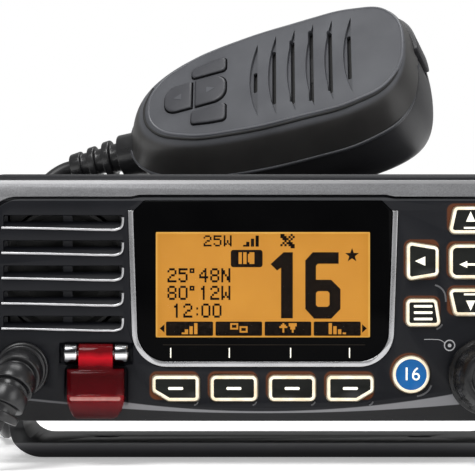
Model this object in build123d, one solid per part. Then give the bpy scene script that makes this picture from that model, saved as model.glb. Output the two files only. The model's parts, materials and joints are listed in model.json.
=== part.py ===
"""A fixed-mount marine radio on its bracket, with its hand microphone laid on top.

Millimetres. +Z is up, the front panel faces -Y and +X is to the right of someone who
faces it. The origin is the middle of the bracket's foot, on the surface it stands on,
straight under the tilt axis.
"""

from build123d import *
from math import cos, pi, radians, sin, sqrt
import os

os.makedirs("parts", exist_ok=True)

# ---------------------------------------------------------------- driving dimensions
# overall
PANEL_W = 156.5  # front panel, across
PANEL_H = 66.5  # front panel, high
RADIO_DEPTH = 110.1  # panel face to the tips of the rear fins
PANEL_DEPTH = 26.0  # panel face to its back plate
CHASSIS_W = 132.5
CHASSIS_H = 55.0
TILT_SETBACK = 50.5  # panel face to the tilt axis

# bracket
BRACKET_T = 4.1  # sheet thickness
BRACKET_GAP = 7.5  # under the panel, above the sheet
FOOT_DEPTH = 47.0  # bracket foot, front to back
FOOT_BEND_R = 10.0  # outside radius of the two bends
ARM_DEPTH = 36.6  # the arms, front to back, clear of the panel when it tilts down
ARM_TOP_R = 12.0
PAD_T = 1.1  # friction pad between arm and chassis
SLOT_SPACING = 90.0  # foot slots, centre to centre
SLOT_L = 7.0
SLOT_W = 4.8
SCREW_D = 5.0  # tilt screws
RUNNING = 0.08  # radial clearance of a turning fit
KNOB_R = 13.0  # tilt knobs
KNOB_L = 13.5

# front panel mouldings
WALL = 2.6  # panel wall
CORNER_R = 9.0  # panel corners, seen from the front
CHIN_LINE = (3.7, 12.0)  # foot of the flat face: height at the middle, rise to the sides
CHIN_FOLD = (2.7, 5.3)  # fold between the chin's two facets, the same way
CHIN_FOOT = (-1.5, 2.0)
FOLD_BACK = 1.4  # how far back the fold lies
CHIN_BACK = 4.2  # and the chin's foot
SHOULDER = 1.6  # depth of the narrower part of the hollow behind the face
BAND_FOOT = 60.4  # lower edge of the metal band, above the panel's lower edge
BAND_TOP = 64.9
GROOVE = 0.7  # grooves round the band and the window
KEY_GAP = 0.3  # keys in their holes, each side
KEY_PROUD = 1.1  # keys stand out of the face
KEY_TRAVEL = 0.6
FLANGE = 0.9  # key flange behind the face, each side
FLANGE_T = 0.9
MAT_T = 1.0  # silicone keypad mat, domes and all
DOME_H = 0.35
BOARD_T = 1.6  # circuit boards
PILLAR_X = 72.0  # screw pillars behind the face

# window and display
WINDOW_W = 67.4  # glass, across its foot
WINDOW_LEAN = 1.1  # each side leans out by this toward the top
WINDOW_FOOT = 16.2  # above the panel's lower edge
WINDOW_TOP = 59.3
WINDOW_R = 8.0  # lower corners
BEZEL_W = 1.5  # metal line round the window
BEZEL_END = 2.6  # where it stops, below the window's top
LENS_T = 2.0
DISPLAY_W = 57.7
DISPLAY_H = 28.3
DISPLAY_FOOT = 22.6
DISPLAY_T = 4.6

# soft keys under the window
SOFT_W = 12.4
SOFT_GAP = 3.2  # between neighbours
SOFT_H = 6.7
SOFT_Z = 9.0  # centre, above the panel's lower edge

# cross pad on the right
PAD_X = 55.6
PAD_Z = 43.0
ROUND_KEY_X = 39.7
ROUND_KEY_Z = 12.7
ROUND_KEY_R = 4.9

# dial
DIAL_X = 60.0
DIAL_Z = 12.3
DIAL_R = 10.5
DIAL_L = 15.0
DIAL_PUSH = 0.8
DIAL_GAP = 1.0  # dial skirt in front of the face
SHAFT_D = 6.0

# speaker and its louvres
SPEAKER_X = -53.6
SPEAKER_Z = 40.5
SPEAKER_R = 17.0
LOUVRES = 5
LOUVRE_PITCH = 6.77
LOUVRE_SLOT = 1.66
LOUVRE_DROP = 3.5  # slot top to lip
LOUVRE_DEPTH = 2.0
LOUVRE_W = 32.0
LOUVRE_RIB = 2.6
LOUVRE_TOP = 55.4  # top of the first slot

# distress cover and button
COVER_X = -44.7
COVER_W = 15.2
COVER_TOP = 14.3
COVER_FOOT = 1.0
COVER_PROUD = 4.6
COVER_WALL = 1.2
HINGE_Z = 18.35
HINGE_R = 2.6
HINGE_OUT = 1.2  # hinge axis in front of the face
BARREL_W = 9.2
PIN_D = 1.6
DISTRESS_Z = 8.3  # centre of the guarded button
DISTRESS_TRAVEL = 0.7

# microphone cable boot on the panel
BOOT_X = -64.5
BOOT_Z = 14.2
BOOT_R = 7.2
BOOT_REACH = 17.0  # how far it comes forward
BOOT_DROP = 12.4
BOOT_SIDE = 5.0
BOOT_END_R = 5.2
CORD_D = 4.6
CURL_D = 12.6  # outside of the coiled cord

# hand microphone, in its own axes: A along it, B across it, H out of its face
MIC_FACE_R = 18.8  # half width of the face
MIC_TAIL = 42.6  # face centre to the cord end of the face
MIC_HEAD = 37.0  # face centre to the far end
MIC_FLARE = 6.6  # the seam stands out from the face edge by this, at the sides
TAIL_FLARE = 1.6  # and by this many times as much at the cord end
HEAD_FLARE = 0.15  # and at the far end
MIC_SEAM_H = -11.5  # seam between the shells
MIC_BACK_H = -33.0
MIC_WALL = 2.2
MIC_KEY_PROUD = 0.9
MIC_KEY_TRAVEL = 0.5
PTT_TRAVEL = 1.0
MIC_CORD_H = -17.0  # the cord leaves at this height
MIC_CORD_HEADING = (-1, 0, 0.06)
MIC_SCREWS = [(-24.0, 0.0), (20.0, -6.0), (20.0, 6.0)]
MIC_AT = (5.6, 12.7, 109.5)
MIC_ALONG = (0.932, -0.278, 0.233)
MIC_OUT = (-0.363, -0.714, 0.599)

# rear of the chassis
ANTENNA_X = -34.0
GLAND_X = (-4.0, 16.0, 34.0)

# coiled cord beside the radio
CURL_X = -95.0  # it starts and ends square to this plane

# ---------------------------------------------------------------- derived places
FACE = -TILT_SETBACK  # y of the panel's flat face
FLOOR_TO_PANEL = BRACKET_T + BRACKET_GAP
CHASSIS_FOOT = FLOOR_TO_PANEL + 4.5
CHASSIS_TOP = CHASSIS_FOOT + CHASSIS_H
TILT_Z = CHASSIS_FOOT + CHASSIS_H / 2
ARM_IN = CHASSIS_W / 2 + PAD_T
ARM_OUT = ARM_IN + BRACKET_T
PANEL_BACK = FACE + PANEL_DEPTH
REAR = FACE + RADIO_DEPTH
FIN_DEPTH = 8.0
FIN_T = 1.8
CASE_REAR = REAR - FIN_DEPTH
GASKET_T = 1.0
CASE_FRONT = PANEL_BACK + GASKET_T
BACK_PLATE_T = 2.2
CASE_WALL = 2.5
COVER_PLATE_T = 1.5
FACE_BACK = FACE + WALL
FLANGE_Y = FACE_BACK + 0.1
MAT_Y = FLANGE_Y + FLANGE_T + KEY_TRAVEL + 0.1
BOARD_Y = MAT_Y + MAT_T
SOFT_PITCH = SOFT_W + SOFT_GAP
MAIN_BOARD_X = CHASSIS_W / 2 - 6.25  # half width of the radio board
POST_X = CHASSIS_W / 2 - 14.25  # posts it stands on
POST_Y = (-12, 38)
MODULE_X = CHASSIS_W / 2 - 16.25  # centre of the output module
HINGE_Y = FACE - HINGE_OUT
REAR_Z = CHASSIS_FOOT + 12.5
MAIN_BOARD_Z = CHASSIS_FOOT + 8.0
LID_SCREWS = [(side * (CHASSIS_W / 2 - 5), y) for side in (-1, 1) for y in (CASE_FRONT + 6, CASE_REAR - 7)]
PLATE_SCREWS = [(side * PILLAR_X, z) for side in (-1, 1) for z in (19.0, PANEL_H - 11.0)]
MIC = Plane(origin=MIC_AT, x_dir=MIC_ALONG, z_dir=MIC_OUT)
MIC_BOOT_AT = Vector(-MIC_TAIL - 7.0, 0, MIC_CORD_H)
CURL_START = (CURL_X, -71.0, CURL_D / 2 + 0.1)
CURL_END = (CURL_X, 72.0, CURL_D / 2 + 0.1)


def zp(height):
    """A height above the panel's lower edge as a height above the floor."""
    return FLOOR_TO_PANEL + height


def facing(y, x=0.0, z=0.0):
    """A plane that faces the user, at depth y."""
    return Plane(origin=(x, y, z), x_dir=(1, 0, 0), z_dir=(0, -1, 0))


def block(sketch, y, depth, x=0.0, z=0.0):
    """An outline seen from the front made solid from y back by depth."""
    return extrude(facing(y, x, z) * sketch, amount=-depth)


def rod_y(radius, y0, y1, x, z):
    """A round bar along Y."""
    return block(Circle(radius), y0, y1 - y0, x, z)


def rod_x(radius, x0, x1, y, z):
    """A round bar along X."""
    plane = Plane(origin=(x0, y, z), x_dir=(0, 1, 0), z_dir=(1, 0, 0))
    return extrude(plane * Circle(radius), amount=x1 - x0)


def box(x0, x1, y0, y1, z0, z1):
    """A box between two corners."""
    return Pos((x0 + x1) / 2, (y0 + y1) / 2, (z0 + z1) / 2) * Box(x1 - x0, y1 - y0, z1 - z0)


def save(name, shape):
    """Writes one node's solids."""
    export_step(Compound(children=list(shape.solids())), f"parts/{name}.step")


# ---------------------------------------------------------------- bracket
def arm_outline():
    """Side view of an arm: full depth at the foot, then narrower, rounded round the screw at the top."""
    foot = FOOT_DEPTH / 2
    neck = ARM_DEPTH / 2
    lean = radians(66)
    touch = (ARM_TOP_R * sin(lean), TILT_Z + ARM_TOP_R * cos(lean))
    shoulder = BRACKET_T + 0.7 * (foot - neck)
    side = [(foot, 0), (foot, BRACKET_T), (neck, shoulder), (neck, FOOT_BEND_R + 6), touch]
    with BuildSketch(Plane.YZ) as sketch:
        with BuildLine():
            Polyline(*side)
            ThreePointArc(touch, (0, TILT_Z + ARM_TOP_R), (-touch[0], touch[1]))
            Polyline(*[(-y, z) for y, z in reversed(side)])
            Line((-foot, 0), (foot, 0))
        make_face()
    return sketch.sketch


def mounting_bracket():
    """A wide U of thick sheet: foot, two rounded bends and two arms."""
    with BuildSketch(Plane.XZ) as front:
        outer = FOOT_BEND_R
        inner = FOOT_BEND_R - BRACKET_T
        top = TILT_Z + 14
        with BuildLine():
            Line((-ARM_OUT, top), (-ARM_OUT, outer))
            RadiusArc((-ARM_OUT, outer), (-ARM_OUT + outer, 0), -outer)
            Line((-ARM_OUT + outer, 0), (ARM_OUT - outer, 0))
            RadiusArc((ARM_OUT - outer, 0), (ARM_OUT, outer), -outer)
            Polyline((ARM_OUT, outer), (ARM_OUT, top), (ARM_IN, top), (ARM_IN, BRACKET_T + inner))
            RadiusArc((ARM_IN, BRACKET_T + inner), (ARM_IN - inner, BRACKET_T), inner)
            Line((ARM_IN - inner, BRACKET_T), (-ARM_IN + inner, BRACKET_T))
            RadiusArc((-ARM_IN + inner, BRACKET_T), (-ARM_IN, BRACKET_T + inner), inner)
            Polyline((-ARM_IN, BRACKET_T + inner), (-ARM_IN, top), (-ARM_OUT, top))
        make_face()
    strip = extrude(front.sketch, amount=FOOT_DEPTH, both=True)
    body = strip & extrude(arm_outline(), amount=ARM_OUT + 1, both=True)
    slots = [
        Pos(side * SLOT_SPACING / 2, 0, -1) * extrude(SlotOverall(SLOT_L, SLOT_W), BRACKET_T + 2)
        for side in (-1, 1)
    ]
    hole = rod_x(SCREW_D / 2 + RUNNING, -ARM_OUT - 1, ARM_OUT + 1, 0, TILT_Z)
    return body - slots - hole


def friction_pads():
    """Ribbed rubber washers between the arms and the chassis."""
    pads = []
    for side in (-1, 1):
        x0, x1 = sorted((side * ARM_IN, side * CHASSIS_W / 2))
        pad = rod_x(11.0, x0, x1, 0, TILT_Z) - rod_x(SCREW_D / 2 + 0.4, x0, x1, 0, TILT_Z)
        pads.append(pad)
    return Compound(children=pads)


def tilt_knob(side):
    """A fluted hand knob: a hub, a gripping rim with scallops and a dished end."""
    plane = Plane(origin=(side * (ARM_OUT + 0.1), 0, TILT_Z), x_dir=(0, 1, 0), z_dir=(side, 0, 0))
    with BuildPart(plane) as knob:
        with BuildSketch(plane):
            Circle(7.0)
        extrude(amount=2.5)
        with BuildSketch(plane.offset(2.5)):
            Circle(KNOB_R)
            with PolarLocations(KNOB_R + 1.9, 8):
                Circle(4.2, mode=Mode.SUBTRACT)
        extrude(amount=KNOB_L - 2.5)
        chamfer(knob.faces().sort_by(Axis(plane.origin, plane.z_dir))[-1].edges(), 0.9)
        with BuildSketch(plane.offset(KNOB_L)):
            Circle(6.5)
        extrude(amount=-1.0, mode=Mode.SUBTRACT)
        with BuildSketch(plane):
            Circle(SCREW_D / 2)
        extrude(amount=KNOB_L - 4.0, mode=Mode.SUBTRACT)
    return knob.part


def tilt_screw(side):
    """The knob's steel screw, through the arm and the pad into the chassis."""
    x0 = side * (CHASSIS_W / 2 - 7.5)
    x1 = side * (ARM_OUT + 0.1 + KNOB_L - 4.0)
    low, high = sorted((x0, x1))
    return rod_x(SCREW_D / 2, low, high, 0, TILT_Z)


# ---------------------------------------------------------------- chassis
def chassis():
    """A cast tray, open to the front and the top, with fins across its back."""
    half = CHASSIS_W / 2
    lid = CHASSIS_TOP - COVER_PLATE_T
    outer = box(-half, half, CASE_FRONT, CASE_REAR, CHASSIS_FOOT, lid)
    outer = fillet(outer.edges().filter_by(Axis.Y).group_by(Axis.Z)[0], 3.0)
    hollow = box(
        -half + CASE_WALL, half - CASE_WALL, CASE_FRONT - 1, CASE_REAR - 4, CHASSIS_FOOT + CASE_WALL, lid + 1
    )
    tray = outer - hollow
    # fins stop at the clear patch round the rear sockets
    fin_count = 19
    pitch = (CHASSIS_W - FIN_T - 6) / (fin_count - 1)
    fins = []
    for i in range(fin_count):
        x = -half + 3 + FIN_T / 2 + i * pitch
        foot = CHASSIS_FOOT + (27.0 if abs(x) < 48 else 3.0)
        fins.append(box(x - FIN_T / 2, x + FIN_T / 2, CASE_REAR - 0.5, REAR, foot, lid - 1.5))
    bosses = [
        rod_x(8.0, low, high, 0, TILT_Z)
        for low, high in ((-half + 1, -half + 9), (half - 9, half - 1))
    ]
    posts = [
        Pos(x, y, CHASSIS_FOOT + 1) * extrude(Circle(3.0), MAIN_BOARD_Z - CHASSIS_FOOT - 1)
        for x in (-POST_X, POST_X)
        for y in POST_Y
    ]
    lugs = [
        box(side * (half - 5) - 3.5, side * (half - 5) + 3.5, y - 3.5, y + 3.5, lid - 12, lid)
        for side in (-1, 1)
        for y in (CASE_FRONT + 6, CASE_REAR - 7)
    ]
    body = tray + fins + bosses + posts + lugs
    screw_way = rod_x(SCREW_D / 2 + 0.02, -half - 1, -half + 8, 0, TILT_Z)
    screw_way += rod_x(SCREW_D / 2 + 0.02, half - 8, half + 1, 0, TILT_Z)
    rear_ways = rod_y(5.6, CASE_REAR - 6, CASE_REAR + 1, ANTENNA_X, REAR_Z)
    for x in GLAND_X:
        rear_ways += rod_y(4.0, CASE_REAR - 6, CASE_REAR + 1, x, REAR_Z)
    taps = [Pos(x, y, lid - 8) * extrude(Circle(1.25), 9) for x, y in LID_SCREWS]
    return body - screw_way - rear_ways - taps


def chassis_lid():
    """The sheet lid over the tray."""
    half = CHASSIS_W / 2
    z0 = CHASSIS_TOP - COVER_PLATE_T
    lid = box(-half, half, CASE_FRONT, CASE_REAR, z0, CHASSIS_TOP)
    lid = fillet(lid.edges().filter_by(Axis.Z), 3.0)
    for x, y in LID_SCREWS:
        lid -= Pos(x, y, z0 - 1) * extrude(Circle(1.6), COVER_PLATE_T + 2)
    return lid


def screw_down(x, y, z, head_r=2.6, head_h=1.6, shank_r=1.25, length=6.0):
    """A pan-head screw pointing down with its head resting at z."""
    head = Pos(x, y, z) * extrude(Circle(head_r), head_h)
    head = chamfer(head.edges().sort_by(Axis.Z)[-1], 0.5)
    drive = Pos(x, y, z + head_h - 0.7) * extrude(Rectangle(0.7, 3.0) + Rectangle(3.0, 0.7), 1)
    return head + Pos(x, y, z - length) * extrude(Circle(shank_r), length) - drive


def screw_back(x, y, z, head_r=2.6, head_h=1.6, shank_r=1.25, length=6.0):
    """A pan-head screw driven from behind, with its head resting at y."""
    head = rod_y(head_r, y, y + head_h, x, z)
    head = chamfer(head.edges().sort_by(Axis.Y)[-1], 0.5)
    drive = box(x - 0.35, x + 0.35, y + head_h - 0.7, y + head_h + 1, z - 1.5, z + 1.5)
    drive += box(x - 1.5, x + 1.5, y + head_h - 0.7, y + head_h + 1, z - 0.35, z + 0.35)
    return head + rod_y(shank_r, y - length, y, x, z) - drive


def case_screws():
    """Eight like screws: four through the back plate and four that hold the lid down."""
    down = [screw_down(x, y, CHASSIS_TOP) for x, y in LID_SCREWS]
    back = [screw_back(x, PANEL_BACK, zp(z)) for x, z in PLATE_SCREWS]
    return Compound(children=down + back)


# ---------------------------------------------------------------- front panel
def panel_outline(inset=0.0):
    """Front view of the panel."""
    return RectangleRounded(PANEL_W - 2 * inset, PANEL_H - 2 * inset, CORNER_R - inset)


def chin_sheet(line, depth, lift=0.0):
    """The region under a chin line, at some depth behind the face."""
    half = PANEL_W / 2 + 6
    middle, side = line[0] + lift, line[0] + line[1] + lift
    with BuildSketch(facing(FACE + depth, 0, FLOOR_TO_PANEL)) as sketch:
        with BuildLine():
            ThreePointArc((-half, side), (0, middle), (half, side))
            Polyline((half, side), (half, -12), (-half, -12), (-half, side))
        make_face()
    return sketch.sketch


def panel_form():
    """The panel's solid form: bevelled rim, sloping top edge and a two-facet chin."""
    middle = zp(PANEL_H / 2)
    bevel, bevel_back = 1.6, 2.2
    front = facing(FACE, 0, middle) * panel_outline(bevel)
    rim = loft([front, facing(FACE + bevel_back, 0, middle) * panel_outline()])
    form = rim + block(panel_outline(), FACE + bevel_back, PANEL_DEPTH - bevel_back, 0, middle)
    over = PANEL_H + 4
    top = [(-1, BAND_FOOT), (0, BAND_FOOT), (1.5, BAND_TOP), (3.4, PANEL_H), (3.4, over), (-1, over)]
    with BuildSketch(Plane.YZ) as slope:
        with BuildLine():
            Polyline(*[(FACE + y, zp(z)) for y, z in top], close=True)
        make_face()
    form -= extrude(slope.sketch, amount=PANEL_W, both=True)
    fold = chin_sheet(CHIN_FOLD, FOLD_BACK)
    form -= loft([chin_sheet(CHIN_LINE, 0), fold], ruled=True)
    form -= loft([fold, chin_sheet(CHIN_FOOT, CHIN_BACK)], ruled=True)
    form -= extrude(chin_sheet(CHIN_LINE, 0), amount=3)
    return form


def band_outline(grow=0.0):
    """Front view of the metal band: over the top and down both sides, tapering away."""
    foot = BAND_FOOT - grow
    step = 0.5
    half = PANEL_W / 2
    side = 3.4 + grow
    end = 36.0 - grow
    with BuildSketch() as sketch:
        with BuildLine():
            Polyline((-half - 1, end), (-half - 1, PANEL_H + 1), (half + 1, PANEL_H + 1), (half + 1, end))
            Polyline((half + 1, end), (half - side, end + 7), (half - side, foot - 9))
            RadiusArc((half - side, foot - 9), (half - side - 9, foot), -9)
            Polyline((half - side - 9, foot), (35.5, foot), (33, foot + step), (-33, foot + step))
            Polyline((-33, foot + step), (-35.5, foot), (-half + side + 9, foot))
            RadiusArc((-half + side + 9, foot), (-half + side, foot - 9), -9)
            Polyline((-half + side, foot - 9), (-half + side, end + 7), (-half - 1, end))
        make_face()
    return sketch.sketch


def window_outline(grow=0.0):
    """Front view of the window: small upper corners, large lower ones."""
    w = WINDOW_W / 2 + grow
    low, high = WINDOW_FOOT - grow, WINDOW_TOP + grow
    r = WINDOW_R + grow
    lean = WINDOW_LEAN
    with BuildSketch() as sketch:
        with BuildLine():
            Polyline((-w - lean + 3, high), (w + lean - 3, high), (w + lean, high - 3))
            Polyline((w + lean, high - 3), (w, low + r))
            RadiusArc((w, low + r), (w - r, low), r)
            Line((w - r, low), (-w + r, low))
            RadiusArc((-w + r, low), (-w, low + r), r)
            Polyline((-w, low + r), (-w - lean, high - 3), (-w - lean + 3, high))
        make_face()
    return sketch.sketch


def soft_key_outline(index, grow=0.0):
    """Front view of a soft key; the outer two have one sloped lower corner."""
    w, h = SOFT_W / 2 + grow, SOFT_H / 2 + grow
    if index not in (0, 3):
        return RectangleRounded(2 * w, 2 * h, 1.4 + grow)
    side = -1 if index == 0 else 1
    points = [(side * w, h), (-side * w, h), (-side * w, -h), (side * (w - 4.4), -h), (side * w, -h + 2.6)]
    with BuildSketch() as sketch:
        with BuildLine():
            Polyline(*points, close=True)
        make_face()
        fillet(sketch.vertices(), 1.2 + grow / 2)
    return sketch.sketch


def trapezium(w_low, w_high, h, r):
    """A rounded four-sided key outline, narrower at one end."""
    points = [(-w_low / 2, -h / 2), (w_low / 2, -h / 2), (w_high / 2, h / 2), (-w_high / 2, h / 2)]
    with BuildSketch() as sketch:
        with BuildLine():
            Polyline(*points, close=True)
        make_face()
        fillet(sketch.vertices(), r)
    return sketch.sketch


def panel_keys():
    """Name, outline at zero clearance, outline grown, x and height of every front key."""
    keys = []

    def add(name, outline, x, z):
        keys.append((name, outline, x, z))

    for i in range(4):
        add(f"soft_key_{i + 1}", lambda g, i=i: soft_key_outline(i, g), (i - 1.5) * SOFT_PITCH, SOFT_Z)
    r = 1.3
    add("key_enter", lambda g: RectangleRounded(11.2 + 2 * g, 9.0 + 2 * g, 2 + g), PAD_X, PAD_Z)
    add("key_up", lambda g: trapezium(11.8 + 2 * g, 8.6 + 2 * g, 7.1 + 2 * g, r + g), PAD_X, PAD_Z + 11.1)
    add("key_down", lambda g: trapezium(8.6 + 2 * g, 11.8 + 2 * g, 7.1 + 2 * g, r + g), PAD_X, PAD_Z - 10.9)
    for side, name in ((-1, "key_left"), (1, "key_right")):
        add(
            name,
            lambda g, s=side: Rotation(0, 0, s * 90)
            * trapezium(10.4 + 2 * g, 7.6 + 2 * g, 8.5 + 2 * g, r + g),
            PAD_X + side * 12.8,
            PAD_Z + 0.1,
        )
    for side, name in ((-1, "key_menu"), (1, "key_clear")):
        add(
            name,
            lambda g, s=side: skew_key(s, g),
            PAD_X + side * 12.6,
            PAD_Z - 13.7,
        )
    add("key_round", lambda g: Circle(ROUND_KEY_R + g), ROUND_KEY_X, ROUND_KEY_Z)
    return keys


def skew_key(side, grow):
    """The lower corner keys: their inner side follows the cross pad."""
    inner_low, inner_high, outer, h = 4.7 + grow, 3.5 + grow, 4.6 + grow, 3.6 + grow
    points = [(side * outer, -h), (-side * inner_low, -h), (-side * inner_high, h), (side * outer, h)]
    with BuildSketch() as sketch:
        with BuildLine():
            Polyline(*points, close=True)
        make_face()
        fillet(sketch.vertices(), 1.3 + grow)
    return sketch.sketch


def key_solid(outline, x, z, crown=0.35):
    """A key: crowned cap, stem through the panel and a flange behind it."""
    height = zp(z)
    cap = block(outline(0.0), FACE - KEY_PROUD, FLANGE_Y - FACE + KEY_PROUD + 0.05, x, height)
    rim = cap.faces().sort_by(Axis.Y)[0].edges()
    cap = chamfer(rim, crown)
    flange = block(outline(FLANGE), FLANGE_Y, FLANGE_T, x, height)
    return cap + flange


def louvre_cut(row):
    """One scoop of the speaker grille and the slots at its foot."""
    top = zp(LOUVRE_TOP - row * LOUVRE_PITCH)
    lip = top - LOUVRE_DROP
    x0 = SPEAKER_X - LOUVRE_W / 2
    with BuildSketch(Plane.YZ.offset(x0)) as scoop:
        with BuildLine():
            Polyline(
                (FACE - 1, top),
                (FACE + LOUVRE_DEPTH, top),
                (FACE + LOUVRE_DEPTH, top - LOUVRE_SLOT),
                (FACE, lip),
                (FACE - 1, lip),
                close=True,
            )
        make_face()
    cut = extrude(scoop.sketch, amount=LOUVRE_W)
    slots = []
    for side in (-1, 1):
        low, high = sorted(
            (
                SPEAKER_X + 1.1 + side * LOUVRE_RIB / 2,
                SPEAKER_X + side * (LOUVRE_W / 2 - 1.0),
            )
        )
        slots.append(box(low, high, FACE, FACE + WALL + 3, top - LOUVRE_SLOT, top))
    return cut + slots


def cover_well(grow=0.0):
    """Front view of the pocket that the distress cover closes on."""
    top, foot = COVER_TOP + 1.0 + grow, COVER_FOOT - 0.6 - grow
    w = COVER_W / 2 + 0.8 + grow
    return Pos(0, (top + foot) / 2) * RectangleRounded(2 * w, top - foot, 2.0 + grow)


def distress_hole(grow=0.0):
    """Front view of the distress button."""
    return RectangleRounded(10.4 + 2 * grow, 7.4 + 2 * grow, 1.6 + grow)


def front_panel(form, band_seat):
    """The moulded front, hollow from behind, with every opening through its face."""
    middle = zp(PANEL_H / 2)
    # the hollow narrows behind the bevelled rim and clears the chin by a wall
    shallow = block(panel_outline(WALL + 1.8), FACE_BACK, SHOULDER + 1, 0, middle)
    shallow -= extrude(chin_sheet(CHIN_LINE, -1, WALL), amount=-1 - WALL - SHOULDER)
    deep = block(panel_outline(WALL), FACE_BACK + SHOULDER, PANEL_DEPTH, 0, middle)
    hollow = shallow + deep - extrude(chin_sheet(CHIN_FOLD, -1, WALL), amount=-1.5 - CHIN_BACK)
    body = form - hollow
    body -= band_seat
    # window pocket: a ledge for the lens and bezel, open to the display
    body -= block(window_outline(0.05), FACE - 1, 1 + LENS_T, 0, FLOOR_TO_PANEL)
    pocket = block(window_outline(BEZEL_W), FACE - 1, 1 + LENS_T, 0, FLOOR_TO_PANEL)
    body -= pocket - box(-PANEL_W, PANEL_W, FACE - 5, FACE + 10, zp(WINDOW_TOP - BEZEL_END), zp(PANEL_H))
    display = RectangleRounded(DISPLAY_W + 1.0, DISPLAY_H + 1.0, 1.0)
    body -= block(display, FACE - 1, 8, 0, zp(DISPLAY_FOOT + DISPLAY_H / 2))
    for name, outline, x, z in panel_keys():
        body -= block(outline(KEY_GAP), FACE - 2, 12, x, zp(z))
        body -= block(outline(FLANGE + 0.3), FACE_BACK, 6, x, zp(z))
    for row in range(LOUVRES):
        body -= louvre_cut(row)
    # distress well, hinge notch and button hole
    back_wall = block(cover_well(1.6), FACE + 0.2, 3.4, COVER_X, FLOOR_TO_PANEL) & form
    body += back_wall
    body -= block(distress_hole(FLANGE + 0.3), FACE_BACK + 1.2, 6, COVER_X, zp(DISTRESS_Z))
    body -= block(cover_well(), FACE - 3, 4.0, COVER_X, FLOOR_TO_PANEL)
    body -= block(distress_hole(KEY_GAP), FACE, 12, COVER_X, zp(DISTRESS_Z))
    body -= rod_x(
        HINGE_R + 0.5, COVER_X - COVER_W / 2 - 2.2, COVER_X + COVER_W / 2 + 2.2, HINGE_Y, zp(HINGE_Z)
    )
    for low, high in boss_spans():
        body -= boss_foot(low, high, 0.05)
    body -= rod_y(SHAFT_D / 2 + 0.6, FACE - 1, FACE + 12, DIAL_X, zp(DIAL_Z))
    body -= rod_y(BOOT_R - 1.6, FACE - 1, FACE + 12, BOOT_X, zp(BOOT_Z))
    return body


def window_bezel():
    """The metal line round the sides and foot of the window."""
    outline = window_outline(BEZEL_W - 0.05) - window_outline(0.05)
    ring = block(outline, FACE - 0.25, LENS_T + 0.25, 0, FLOOR_TO_PANEL)
    return ring - box(-PANEL_W, PANEL_W, FACE - 5, FACE + 10, zp(WINDOW_TOP - BEZEL_END - 0.05), zp(PANEL_H))


def window_lens():
    """The glossy window, resting on the panel's ledge."""
    return block(window_outline(), FACE, LENS_T, 0, FLOOR_TO_PANEL)


def display_module():
    """Liquid-crystal cell with its light box behind the window."""
    middle = zp(DISPLAY_FOOT + DISPLAY_H / 2)
    cell = block(RectangleRounded(DISPLAY_W, DISPLAY_H, 0.6), FACE + LENS_T, 1.2, 0, middle)
    back = FACE + LENS_T + 1.2
    frame = block(Rectangle(DISPLAY_W, DISPLAY_H), back, BOARD_Y - back, 0, middle)
    return cell + frame


def keypad_mat():
    """The silicone mat behind the keys: one sheet with a dome under each key."""
    left, right = -33.0, PILLAR_X - 3.7
    front = MAT_Y + DOME_H
    lower = box(left, right, front, BOARD_Y, zp(9.5), zp(17.0))
    upper = box(DISPLAY_W / 2 + 3.5, right, front, BOARD_Y, zp(17.0), zp(PANEL_H - 8))
    mat = lower + upper
    mat -= rod_y(SHAFT_D / 2 + 4.0, MAT_Y - 1, MAT_Y + 2, DIAL_X, zp(DIAL_Z))
    for name, outline, x, z in panel_keys():
        mat += rod_y(1.8, MAT_Y, BOARD_Y, x, zp(z))
    return mat


def front_board():
    """The control board that the keys, the display and the dial sit on."""
    half = PILLAR_X - 3.7
    board = box(-half, half, BOARD_Y, BOARD_Y + BOARD_T, zp(9.5), zp(PANEL_H - 6))
    board = fillet(board.edges().filter_by(Axis.Y), 4.0)
    board -= rod_y(SPEAKER_R + 0.8, BOARD_Y - 1, BOARD_Y + 3, SPEAKER_X, zp(SPEAKER_Z))
    board -= rod_y(SHAFT_D / 2 + 0.6, BOARD_Y - 1, BOARD_Y + 3, DIAL_X, zp(DIAL_Z))
    board -= rod_y(BOOT_R - 1.0, BOARD_Y - 1, BOARD_Y + 3, BOOT_X, zp(BOOT_Z))
    return board


def speaker():
    """The loudspeaker: cone, basket and magnet behind the louvres."""
    y = FACE_BACK + 0.9
    profile = [
        (0, 3.4), (5, 3.2), (11, 0.9), (14.8, 1.4), (16.2, 0), (SPEAKER_R, 0), (SPEAKER_R, 2.2),
        (13, 3.2), (9.5, 8.2), (9.5, 12.6), (0, 12.6),
    ]
    plane = Plane(origin=(SPEAKER_X, y, zp(SPEAKER_Z)), x_dir=(1, 0, 0), z_dir=(0, 0, 1))
    with BuildSketch(plane) as section:
        with BuildLine():
            Polyline(*profile, close=True)
        make_face()
    return revolve(section.sketch, Axis((SPEAKER_X, y, zp(SPEAKER_Z)), (0, 1, 0)))


def back_plate():
    """Closes the panel from behind, with a large way through into the chassis."""
    middle = zp(PANEL_H / 2)
    plate = block(panel_outline(WALL + 0.1), PANEL_BACK - BACK_PLATE_T, BACK_PLATE_T, 0, middle)
    plate -= box(-54, 54, PANEL_BACK - 5, PANEL_BACK + 1, zp(11), zp(PANEL_H - 15))
    for x, z in PLATE_SCREWS:
        plate -= rod_y(1.6, PANEL_BACK - 5, PANEL_BACK + 1, x, zp(z))
    return plate


def plate_bosses(form):
    """Pillars in the panel that take the back plate's screws."""
    pillars = [
        rod_y(3.2, FACE_BACK - 0.5, PANEL_BACK - BACK_PLATE_T, x, zp(z)) for x, z in PLATE_SCREWS
    ]
    bores = [rod_y(1.25, FACE_BACK + 8, PANEL_BACK, x, zp(z)) for x, z in PLATE_SCREWS]
    return pillars, bores


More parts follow.
